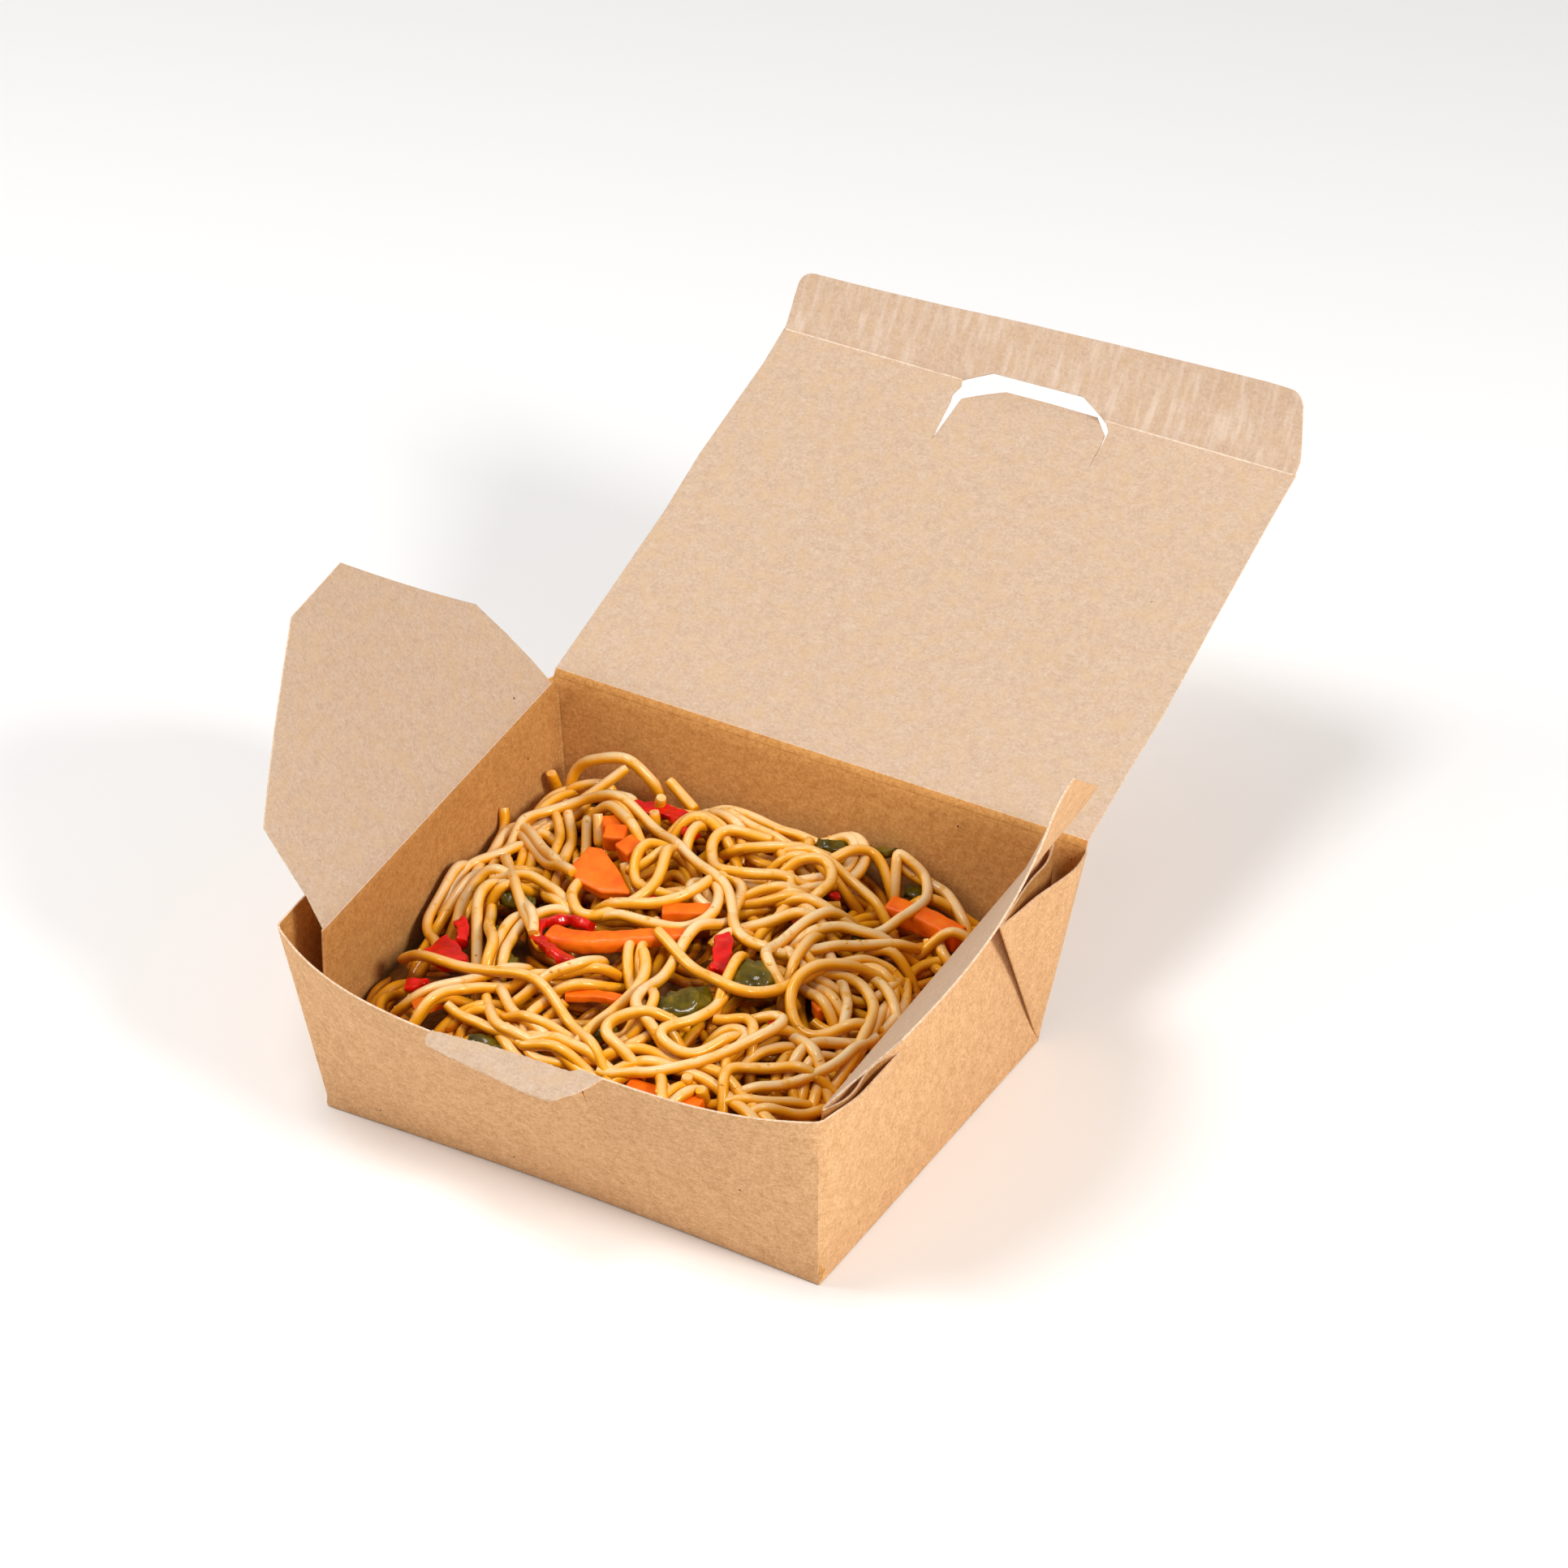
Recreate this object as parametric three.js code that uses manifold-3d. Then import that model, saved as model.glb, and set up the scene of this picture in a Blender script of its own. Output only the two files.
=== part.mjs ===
// Noodle takeaway box: a folded kraft board tray with its lid, tuck flap, two dust flaps and front
// tab standing open, filled with fried noodles and cut vegetables.
// Millimetres, +Z up. The origin is the centre of the underside, -Y is the front wall, and the lid
// is hinged on the back wall at +Y.
import * as THREE from 'three';
import { mergeVertices } from 'three/addons/utils/BufferGeometryUtils.js';
import Module from 'manifold-3d';

const wasm = await Module();
wasm.setup();

// ---------------------------------------------------------------- driving dimensions
const BOARD = 0.55;                       // thickness of the folded board
const AXIS_GAP = 0.5;                     // how far a panel stops short of its crease line
const BASE_Z = BOARD / 2;                 // mid-plane of the floor panel
const RIM_Z = 62.2;                       // height of the front corners
const CREASE_Z = 61.3;                    // height of the side walls' creases
const BACK_CREASE_Z = 61.5;               // height of the back wall's crease
const FRONT_INSET = 1.6;                  // how far the floor's front edge bows inwards

// Corners are named front or back, then left or right. base is on the floor, out is where the
// front or back wall ends at the rim, in is where the side wall's crease ends, and tip is where
// the corner web's diagonal fold meets the rim.
const CORNERS = {
  frontLeft: { base: [-76, -60], out: [-81.8, -67.5], in: [-70.8, -62.8], tip: [-83, -25] },
  frontRight: { base: [76, -58.6], out: [83.1, -68.4], in: [80.5, -63.2], tip: [84.6, -26] },
  backLeft: { base: [-76, 59.3], out: [-85, 69], in: [-83.4, 66.4], tip: [-86, 27] },
  backRight: { base: [75.6, 58.9], out: [85.2, 67.6], in: [74.6, 65.4], tip: [81.4, 26] },
};
const TIP_Z = 61;                         // the webs' tips sit a little below the rim

const FRONT_OVERHANG = 8.2;               // how far the rim leans out past the floor at the corners
const FRONT_BULGE = { left: 13.6, right: 9.4 };   // extra lean on either side of the slit
const SIDE_BULGE = 2.2;                   // how far the food pushes the side walls out
const WEB_BULGE = 1.6;                    // how far a web's outer layer bows out
const SLIT = { x: 17, depth: 14, width: 0.8 };    // the cut beside the front tab

const LID = {
  stripWidth: 2, stripLean: 29.9, lean: 67.9,     // degrees back from upright
  length: { left: 132, right: 131 }, hingeHalf: 84.6, frontHalf: 83.2,
};
const TUCK = { bend: 27, depth: 19.4, half: 81, endHalf: 79.2, corner: 5 };
const NOTCH = { left: -25, right: 24, from: -15.4, to: 13.6, depth: 3.6 };   // cut into the tuck by the tongue
const TONGUE = { left: -21, right: 27.5, depth: 21, slit: 1.1, lean: 5, corner: 9 };
const FLAP = {                            // both dust flaps, along the crease and up from it
  frontStep: 4, shoulder: 30, crown: 66.5, crownFrom: 58, crownTo: 85, backStep: 4,
  leanLeft: 39.5, leanRight: 34,
};
const TAB = { from: -23.5, to: 17.5, lean: 104, depth: 12.2 };

const NOODLE_RADIUS = 1.65;
const NOODLE_SIDES = 5;
const NOODLE_STEP = 5;                    // spacing of the rings along a noodle
const WALL_GAP = 0.45;                    // clear space between food and board
const END_TAPER = 0.82;                   // a strip's or a noodle's end against its middle
const TOPPING_GAP = 0.35;                 // clear space between a topping and the noodles
const TUCK_SPACE_Y = -62;                 // in front of this the closed lid's tuck flap hangs
const SEED = 20;
const RANDOM_NOODLES = 22;

// ---------------------------------------------------------------- colours
const PAPER = { kraft: 0xd9a877, kraftInner: 0xd8b48a };
const FOOD = {
  noodle: 0xdcae5c, carrot: 0xe06a14, redPepper: 0xb81a0c, greenPepper: 0x4c5216,
};

const group = new THREE.Group();
const v3 = (x, y, z) => new THREE.Vector3(x, y, z);
const lerp = THREE.MathUtils.lerp;
const radians = THREE.MathUtils.degToRad;

function addNode(name, geometry, color, roughness) {
  const mesh = new THREE.Mesh(geometry, new THREE.MeshStandardMaterial({ color, roughness, metalness: 0 }));
  mesh.name = name;
  group.add(mesh);
}

// ---------------------------------------------------------------- solids
function toManifold(geometry) {
  const bare = geometry.clone();
  bare.deleteAttribute('normal');
  bare.deleteAttribute('uv');
  const merged = mergeVertices(bare, 1e-4);
  const vertProperties = new Float32Array(merged.attributes.position.array);
  return new wasm.Manifold(new wasm.Mesh({
    numProp: 3, vertProperties, triVerts: new Uint32Array(merged.index.array),
  }));
}

function fromManifold(solid) {
  const mesh = solid.getMesh();
  const geometry = new THREE.BufferGeometry();
  geometry.setAttribute('position', new THREE.BufferAttribute(new Float32Array(mesh.vertProperties), 3));
  geometry.setIndex(new THREE.BufferAttribute(new Uint32Array(mesh.triVerts), 1));
  return geometry;
}

function solidFrom(positions, index) {
  const geometry = new THREE.BufferGeometry();
  geometry.setAttribute('position', new THREE.BufferAttribute(new Float32Array(positions), 3));
  geometry.setIndex(index);
  return toManifold(geometry);
}

// The largest connected body, with any hollow that the joins have sealed left out.
function mainBody(solid) {
  return solid.decompose().reduce((best, piece) => (piece.volume() > best.volume() ? piece : best));
}

const union = (solids) => solids.reduce((sum, solid) => sum.add(solid));

// A closed board made by giving the surface point(u, v) a thickness to both sides.
function board(point, columns, rows, thickness = BOARD) {
  const positions = [];
  const index = [];
  const small = 1e-3;
  const at = (i, j, side) => {
    const u = i / columns;
    const v = j / rows;
    const du = point(Math.min(u + small, 1), v).sub(point(Math.max(u - small, 0), v));
    const dv = point(u, Math.min(v + small, 1)).sub(point(u, Math.max(v - small, 0)));
    return point(u, v).addScaledVector(du.cross(dv).normalize(), side * thickness / 2);
  };
  for (const side of [1, -1]) {
    for (let j = 0; j <= rows; j++) {
      for (let i = 0; i <= columns; i++) positions.push(...at(i, j, side).toArray());
    }
  }
  const layer = (columns + 1) * (rows + 1);
  const id = (i, j, side) => (side > 0 ? 0 : layer) + j * (columns + 1) + i;
  const quad = (a, b, c, d) => index.push(a, b, c, a, c, d);
  for (let j = 0; j < rows; j++) {
    for (let i = 0; i < columns; i++) {
      quad(id(i, j, 1), id(i + 1, j, 1), id(i + 1, j + 1, 1), id(i, j + 1, 1));
      quad(id(i, j, -1), id(i, j + 1, -1), id(i + 1, j + 1, -1), id(i + 1, j, -1));
    }
  }
  for (let i = 0; i < columns; i++) {
    quad(id(i, 0, -1), id(i + 1, 0, -1), id(i + 1, 0, 1), id(i, 0, 1));
    quad(id(i, rows, 1), id(i + 1, rows, 1), id(i + 1, rows, -1), id(i, rows, -1));
  }
  for (let j = 0; j < rows; j++) {
    quad(id(0, j, 1), id(0, j + 1, 1), id(0, j + 1, -1), id(0, j, -1));
    quad(id(columns, j, -1), id(columns, j + 1, -1), id(columns, j + 1, 1), id(columns, j, 1));
  }
  return solidFrom(positions, index);
}

// A flat panel cut to an outline of [along, up] points, in a frame of crease origin and directions.
function panel(outline, frame) {
  const shape = new THREE.Shape(outline.map(([x, y]) => new THREE.Vector2(x, y)));
  const flat = new THREE.ExtrudeGeometry(shape, { depth: BOARD, bevelEnabled: false, steps: 1 });
  flat.translate(0, 0, -BOARD / 2);
  const normal = frame.along.clone().cross(frame.up);
  flat.applyMatrix4(new THREE.Matrix4().makeBasis(frame.along, frame.up, normal).setPosition(frame.origin));
  return toManifold(flat);
}

// A frame on a crease from one point to another, whose panel leans out from upright by some degrees.
function creaseFrame(from, to, outward, lean) {
  const along = to.clone().sub(from).normalize();
  const out = outward.clone().addScaledVector(along, -outward.dot(along)).normalize();
  const upright = v3(0, 0, 1).addScaledVector(along, -along.z).normalize();
  out.addScaledVector(upright, -out.dot(upright)).normalize();
  const up = upright.multiplyScalar(Math.cos(radians(lean))).addScaledVector(out, Math.sin(radians(lean)));
  return { origin: from.clone(), along, up, length: from.distanceTo(to) };
}

function roundedCorner([x, y], radius, fromDegrees, toDegrees, steps = 4) {
  return Array.from({ length: steps + 1 }, (_, k) => {
    const angle = radians(lerp(fromDegrees, toDegrees, k / steps));
    return [x + radius * Math.cos(angle), y + radius * Math.sin(angle)];
  });
}

// ---------------------------------------------------------------- tray
const floorCorner = (name) => v3(...CORNERS[name].base, BASE_Z);
const rimCorner = (name) => v3(...CORNERS[name].out, name.startsWith('back') ? BACK_CREASE_Z : RIM_Z);
const creaseEnd = (name) => v3(...CORNERS[name].in, CREASE_Z);
const webTip = (name) => v3(...CORNERS[name].tip, TIP_Z);

const smooth = (x) => THREE.MathUtils.smoothstep(x, 0, 1);

function floorPoint(u, v) {
  const front = floorCorner('frontLeft').lerp(floorCorner('frontRight'), u);
  front.y += FRONT_INSET * Math.sin(Math.PI * u);
  return front.lerp(floorCorner('backLeft').lerp(floorCorner('backRight'), u), v);
}

// The front wall keeps its slant height everywhere, so its rim drops where it leans out further.
function frontPoint(u, v) {
  const foot = floorPoint(u, 0);
  const corner = rimCorner('frontLeft').lerp(rimCorner('frontRight'), u);
  const slant = Math.hypot(RIM_Z - BASE_Z, FRONT_OVERHANG);
  const pastSlit = smooth((corner.x - SLIT.x + 3) / 6);
  const bulge = lerp(FRONT_BULGE.left, FRONT_BULGE.right, pastSlit) * (1 - Math.abs(2 * u - 1) ** 4);
  const lean = foot.y - corner.y + bulge;
  return v3(lerp(foot.x, corner.x, v), foot.y - v * lean, BASE_Z + v * Math.sqrt(slant ** 2 - lean ** 2));
}

function backPoint(u, v) {
  return floorPoint(u, 1).lerp(rimCorner('backLeft').lerp(rimCorner('backRight'), u), v);
}

function sidePoint(side) {
  const sign = side === 'Left' ? -1 : 1;
  return (u, v) => {
    const foot = floorCorner(`front${side}`).lerp(floorCorner(`back${side}`), u);
    const point = foot.lerp(creaseEnd(`front${side}`).lerp(creaseEnd(`back${side}`), u), v);
    point.x += sign * SIDE_BULGE * Math.sin(Math.PI * u) * Math.sin(Math.PI * v);
    return point;
  };
}

// A corner web: the outer layer runs on from the front or back wall, and the inner layer is folded
// back along the diagonal to the end of the side wall. The pocket between them is open at the top.
function web(name) {
  const bulge = WEB_BULGE * Math.sign(CORNERS[name].base[0]);
  const foot = floorCorner(name);
  const layer = (end, bow) => board((u, v) => {
    const point = foot.clone().lerp(end.clone().lerp(webTip(name), u), lerp(0.012, 1, v));
    point.x += bow * v * Math.sin(Math.PI * u);
    return point;
  }, 6, 1);
  return [layer(rimCorner(name), bulge), layer(creaseEnd(name), bulge * 0.4)];
}

function slitCutter() {
  const u = (SLIT.x - CORNERS.frontLeft.out[0]) / (CORNERS.frontRight.out[0] - CORNERS.frontLeft.out[0]);
  const top = frontPoint(u, 1);
  const cutter = new THREE.BoxGeometry(SLIT.width, 30, 2 * SLIT.depth);
  cutter.translate(top.x, top.y, top.z);
  return toManifold(cutter);
}

function makeTray() {
  const front = board(frontPoint, 30, 1).subtract(slitCutter());
  const walls = [board(backPoint, 1, 1), board(sidePoint('Left'), 6, 5), board(sidePoint('Right'), 6, 5)];
  const floor = board(floorPoint, 10, 1);
  const webs = Object.keys(CORNERS).flatMap(web);
  return mainBody(union([floor, front, ...walls, ...webs]));
}

// ---------------------------------------------------------------- lid, tuck flap and crease strip
const backwards = v3(0, 1, 0);
const hingeLeft = rimCorner('backLeft').add(v3(0, 0, AXIS_GAP * 0.6));
const hingeRight = rimCorner('backRight').add(v3(0, 0, AXIS_GAP * 0.6));
const stripFrame = creaseFrame(hingeLeft, hingeRight, backwards, LID.stripLean);
const middle = stripFrame.length / 2;

function shifted(frame, along, up, turn) {
  const moved = { ...frame, origin: frame.origin.clone() };
  moved.origin.addScaledVector(frame.along, along).addScaledVector(frame.up, up);
  if (turn !== undefined) moved.up = frame.up.clone().applyAxisAngle(frame.along, radians(turn));
  return moved;
}

function makeStrip() {
  const half = LID.hingeHalf;
  const near = AXIS_GAP;
  const far = LID.stripWidth - AXIS_GAP;
  return panel([[-half, near], [half, near], [half, far], [-half, far]], shifted(stripFrame, middle, 0));
}

const lidFrame = shifted(stripFrame, middle, LID.stripWidth, LID.stripLean - LID.lean);

// The lid's front crease runs between these two points of the lid's own frame.
const lidFront = (x) => lerp(LID.length.left, LID.length.right, (x / LID.frontHalf + 1) / 2);

function makeLid() {
  const edge = (x) => [x, lidFront(x) - AXIS_GAP];
  const { left, right, depth, slit, corner } = TONGUE;
  const top = lidFront(0) - AXIS_GAP;
  const outline = [
    [-LID.hingeHalf, AXIS_GAP], [LID.hingeHalf, AXIS_GAP], edge(LID.frontHalf),
    edge(right - corner), [right, top - corner * 0.8], [right, top - depth], [left, top - depth],
    [left, top - corner * 0.8], edge(left + corner), edge(-LID.frontHalf),
  ];
  const tongueFrame = shifted(lidFrame, 0, top - depth, -TONGUE.lean);
  const tongue = panel([
    [left + slit, -BOARD], [right - slit, -BOARD], [right - slit, depth - corner * 0.8],
    [right - corner, depth - slit], [left + corner, depth - slit], [left + slit, depth - corner * 0.8],
  ], tongueFrame);
  return mainBody(panel(outline, lidFrame).add(tongue));
}

const tuckAlong = lidFrame.along.clone().multiplyScalar(2 * LID.frontHalf)
  .addScaledVector(lidFrame.up, LID.length.right - LID.length.left).normalize();
const tuckOrigin = shifted(lidFrame, 0, lidFront(0)).origin;
const tuckFrame = {
  origin: tuckOrigin, along: tuckAlong,
  up: lidFrame.up.clone().addScaledVector(tuckAlong, -lidFrame.up.dot(tuckAlong)).normalize()
    .applyAxisAngle(tuckAlong, radians(TUCK.bend)),
};

function makeTuck() {
  const { half, endHalf, depth, corner } = TUCK;
  return panel([
    [-half, AXIS_GAP], [NOTCH.left, AXIS_GAP], [NOTCH.from, NOTCH.depth], [NOTCH.to, NOTCH.depth],
    [NOTCH.right, AXIS_GAP], [half, AXIS_GAP],
    ...roundedCorner([endHalf - corner, depth - corner], corner, 0, 90),
    ...roundedCorner([corner - endHalf, depth - corner], corner, 90, 180),
  ], tuckFrame);
}

// ---------------------------------------------------------------- dust flaps and front tab
function makeFlap(side, lean) {
  const lift = v3(0, 0, AXIS_GAP * 0.6);
  const outward = v3(side === 'Left' ? -1 : 1, 0, 0);
  const frame = creaseFrame(creaseEnd(`front${side}`).add(lift), creaseEnd(`back${side}`).add(lift), outward, lean);
  const { frontStep, backStep, shoulder, crown, crownFrom, crownTo } = FLAP;
  const end = frame.length;
  return panel([
    [frontStep, AXIS_GAP], [end - backStep, AXIS_GAP], [end - backStep - 4, shoulder], [crownTo, crown],
    [crownFrom, crown], [frontStep + 5, shoulder], [frontStep + 2, 9],
  ], frame);
}

function rimAt(x) {
  const u = (x - CORNERS.frontLeft.out[0]) / (CORNERS.frontRight.out[0] - CORNERS.frontLeft.out[0]);
  return frontPoint(u, 1).add(v3(0, 0, AXIS_GAP));
}

function makeTab() {
  const frame = creaseFrame(rimAt(TAB.from), rimAt(TAB.to), v3(0, -1, 0), TAB.lean);
  const { depth } = TAB;
  return panel([
    [4, AXIS_GAP], [0, depth * 0.28], [10, depth * 0.56], [20, depth * 0.8], [30, depth * 0.96],
    [38, depth], [45, depth * 0.7], [49, depth * 0.25], [38, AXIS_GAP],
  ], frame);
}

// ---------------------------------------------------------------- food: the heap's surface
const HEAP = { edge: 30, dome: 14.5, back: 6, reachX: 82, reachY: 68 };

function heapHeight(x, y) {
  const across = Math.min(Math.abs(x / HEAP.reachX), 1) ** 2.4;
  const along = Math.min(Math.abs(y / HEAP.reachY), 1) ** 2.4;
  const back = HEAP.back * Math.exp(-((x / 45) ** 2) - ((y - 62) / 25) ** 2);
  const lumps = 1.1 * Math.sin(x / 9 + 1) * Math.sin(y / 8 + 2) + 0.8 * Math.sin(x / 17 - y / 13);
  return HEAP.edge + HEAP.dome * (1 - across) * (1 - along) + back + lumps;
}

// The inner faces of the four walls at some height, as limits for the food.
function wallLimits(x, y, z) {
  const v = THREE.MathUtils.clamp((z - BASE_Z) / RIM_Z, 0, 1);
  const across = THREE.MathUtils.clamp((y + 60) / 120, 0, 1);
  const along = THREE.MathUtils.clamp((x + 76) / 152, 0, 1);
  const margin = BOARD / 2 + WALL_GAP;
  return {
    left: sidePoint('Left')(across, v).x + margin, right: sidePoint('Right')(across, v).x - margin,
    front: frontPoint(along, v).y + margin, back: backPoint(along, v).y - margin,
  };
}

// The core: a plain lump under the noodles whose sides follow the walls.
function makeCore(columns = 15, rows = 12) {
  const positions = [];
  const index = [];
  const floorZ = BOARD + WALL_GAP;
  const place = (i, j, level) => {
    const u = i / columns;
    const v = j / rows;
    let z = floorZ;
    let point = v3(0, 0, z);
    for (let pass = 0; pass < 3; pass++) {
      const limits = wallLimits(lerp(-76, 76, u), lerp(-60, 60, v), z);
      point = v3(lerp(limits.left, limits.right, u), lerp(limits.front, limits.back, v), z);
      z = lerp(floorZ, heapHeight(point.x, point.y), level);
    }
    point.z = z;
    return point.toArray();
  };
  const push = (i, j, level) => positions.push(...place(i, j, level)) / 3 - 1;
  const top = Array.from({ length: rows + 1 }, (_, j) => Array.from({ length: columns + 1 }, (_, i) => push(i, j, 1)));
  const edge = [
    ...top[0].slice(0, -1).map((_, i) => [i, 0]), ...top.slice(0, -1).map((_, j) => [columns, j]),
    ...top[0].slice(0, -1).map((_, i) => [columns - i, rows]), ...top.slice(0, -1).map((_, j) => [0, rows - j]),
  ];
  const rim = edge.map(([i, j]) => top[j][i]);
  const foot = edge.map(([i, j]) => push(i, j, 0));
  const middle = positions.push(0, 0, floorZ) / 3 - 1;
  for (let j = 0; j < rows; j++) {
    for (let i = 0; i < columns; i++) {
      index.push(top[j][i], top[j][i + 1], top[j + 1][i + 1], top[j][i], top[j + 1][i + 1], top[j + 1][i]);
    }
  }
  foot.forEach((id, k) => {
    const next = (k + 1) % foot.length;
    index.push(id, foot[next], rim[next], id, rim[next], rim[k], middle, foot[next], id);
  });
  return solidFrom(positions, index);
}

// ---------------------------------------------------------------- food: toppings
// Each topping is a strip bent through its points, a cut block, or a soft flattened lump.
// Sizes are width and thickness, and lift raises the middle above the bare heap.
const TOPPINGS = [
  { name: 'carrot_stick_long', color: FOOD.carrot, path: [[-26, -15], [-17, -13], [-6, -7], [3.5, -0.5]], size: [6.4, 4.6], lift: 1.6 },
  { name: 'carrot_stick_right', color: FOOD.carrot, path: [[38, 44], [48, 44.5], [60, 42.5]], size: [6.2, 6], lift: 1.9 },
  { name: 'carrot_stick_front', color: FOOD.carrot, path: [[17, -54], [27, -52.5], [37, -51]], size: [5.4, 4.4], lift: 1.6 },
  { name: 'carrot_shred', color: FOOD.carrot, path: [[-14, -35], [-6, -31], [1, -29]], size: [3.2, 2.2], lift: 0.7 },
  { name: 'carrot_chunk', color: FOOD.carrot, path: [[-8, 4.5], [4, 10]], size: [4.8, 4], lift: 1.4 },
  { name: 'carrot_slab', color: FOOD.carrot, block: [-33, 12], size: [15.5, 12.5, 3.6], turn: -38, tilt: 20, lift: 3.4 },
  { name: 'carrot_dice_a', color: FOOD.carrot, block: [-41, 31.5], size: [5.8, 5.6, 5.2], turn: 20, tilt: 8, lift: 2 },
  { name: 'carrot_dice_b', color: FOOD.carrot, block: [-32.5, 26], size: [6.2, 5.6, 5.4], turn: -25, tilt: 12, lift: 2.3 },
  { name: 'carrot_dice_c', color: FOOD.carrot, block: [-46.5, 38.5], size: [5, 4.6, 4.4], turn: 35, tilt: 0, lift: 1.8 },
  { name: 'carrot_dice_d', color: FOOD.carrot, block: [45.5, -3], size: [6.4, 5, 4.4], turn: 50, tilt: 0, lift: 1.2 },
  { name: 'carrot_piece_left', color: FOOD.carrot, path: [[-50, -53], [-45.5, -48]], size: [4, 3.4], lift: 1 },
  { name: 'red_pepper_curl', color: FOOD.redPepper, path: [[-26, -6.5], [-33, -6.5], [-36.5, -12], [-33.5, -20], [-26, -24], [-18, -25.5], [-13, -22]], size: [3.2, 3], lift: 1.4 },
  { name: 'red_pepper_arc', color: FOOD.redPepper, path: [[-52, 45], [-48, 51], [-42, 53.5], [-34, 52], [-24, 42]], size: [4.4, 2.8], lift: 1.7 },
  { name: 'red_pepper_chunk', color: FOOD.redPepper, path: [[-60, -31.5], [-54.5, -34], [-49, -37]], size: [8, 3.2], lift: 1.6 },
  { name: 'red_pepper_fold', color: FOOD.redPepper, path: [[-58, -19], [-54, -21.5], [-51, -25]], size: [3.6, 3], lift: 1.5 },
  { name: 'red_pepper_low', color: FOOD.redPepper, path: [[-58, -45], [-53, -43]], size: [3.8, 2.6], lift: 0.9 },
  { name: 'red_pepper_strip', color: FOOD.redPepper, path: [[11.5, 3], [15, -4], [17.5, -11]], size: [4.8, 3], lift: 1.6 },
  { name: 'green_pepper_big', color: FOOD.greenPepper, lump: [15, -27.5], size: [18, 9, 5.4], turn: 58, lift: 1.4 },
  { name: 'green_pepper_round', color: FOOD.greenPepper, lump: [27.5, -8], size: [12.5, 10.5, 6.4], turn: 60, lift: 1.8 },
  { name: 'green_pepper_small', color: FOOD.greenPepper, lump: [0.5, -41.5], size: [9, 4.6, 3.6], turn: 40, lift: 0.9 },
  { name: 'green_pepper_left_a', color: FOOD.greenPepper, lump: [-50, -4], size: [12.5, 5.6, 4], turn: -4, lift: 0.9 },
  { name: 'green_pepper_left_b', color: FOOD.greenPepper, lump: [-45.5, -16.5], size: [9.5, 6, 4.2], turn: 60, lift: 1.1 },
  { name: 'green_pepper_dark', color: FOOD.greenPepper, lump: [-36, -29.5], size: [8.5, 5.6, 3.6], turn: -20, lift: 0.8 },
  { name: 'green_pepper_front', color: FOOD.greenPepper, path: [[-31, -56], [-20, -54]], size: [4.4, 3], lift: 0.8 },
  { name: 'green_pepper_yellow', color: FOOD.greenPepper, path: [[38, 25], [42, 27.5], [47, 28.5]], size: [4.6, 2.8], lift: 1 },
  { name: 'green_pepper_ring', color: FOOD.greenPepper, path: [[36, 57], [41, 57.5], [45, 54.5]], size: [4.4, 2.8], lift: 1 },
  { name: 'green_pepper_strip', color: FOOD.greenPepper, path: [[11, 53], [15.5, 56.5], [20, 58.5], [25, 60]], size: [2.8, 2.2], lift: 1.5, rise: 3 },
];

// A six-sided section, with its wide faces level and its upper edges chamfered.
function stripSection(width, thickness) {
  const [w, t] = [width / 2, thickness / 2];
  return [[w, -t], [w, t * 0.5], [w * 0.7, t], [-w * 0.7, t], [-w, t * 0.5], [-w, -t]];
}

// A section swept through points, with its wide faces kept level and its two ends drawn in a little.
function sweepStrip(points, section, step) {
  const curve = new THREE.CatmullRomCurve3(points, false, 'centripetal');
  const count = Math.max(2, Math.round(curve.getLength() / step));
  const positions = [];
  const index = [];
  const sides = section.length;
  for (let k = 0; k <= count; k++) {
    const at = curve.getPointAt(k / count);
    const forward = curve.getTangentAt(k / count);
    const across = forward.clone().cross(v3(0, 0, 1)).normalize();
    const up = across.clone().cross(forward).normalize();
    const taper = k === 0 || k === count ? END_TAPER : 1;
    for (const [x, y] of section) {
      positions.push(...at.clone().addScaledVector(across, x * taper).addScaledVector(up, y * taper).toArray());
    }
  }
  for (let k = 0; k < count; k++) {
    for (let s = 0; s < sides; s++) {
      const next = (s + 1) % sides;
      const [a, b, c, d] = [k * sides + s, k * sides + next, (k + 1) * sides + next, (k + 1) * sides + s];
      index.push(a, c, b, a, d, c);
    }
  }
  for (let s = 1; s < sides - 1; s++) {
    index.push(0, s, s + 1, count * sides, count * sides + s + 1, count * sides + s);
  }
  return solidFrom(positions, index);
}

const onHeap = ([x, y], lift) => v3(x, y, heapHeight(x, y) + lift);

function toppingSolid(topping) {
  const { size, lift } = topping;
  if (topping.path) {
    const last = topping.path.length - 1;
    const points = topping.path.map((p, k) => onHeap(p, lift + (topping.rise ?? 0) * (k / last) ** 2));
    return sweepStrip(points, stripSection(...size), 3.6);
  }
  const centre = onHeap(topping.block ?? topping.lump, lift);
  const shape = topping.block
    ? new THREE.BoxGeometry(...size)
    : new THREE.SphereGeometry(0.5, 10, 7).rotateX(Math.PI / 2).scale(...size);
  shape.rotateX(radians(topping.tilt ?? 0)).rotateZ(radians(topping.turn)).translate(...centre.toArray());
  return toManifold(shape);
}

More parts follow.
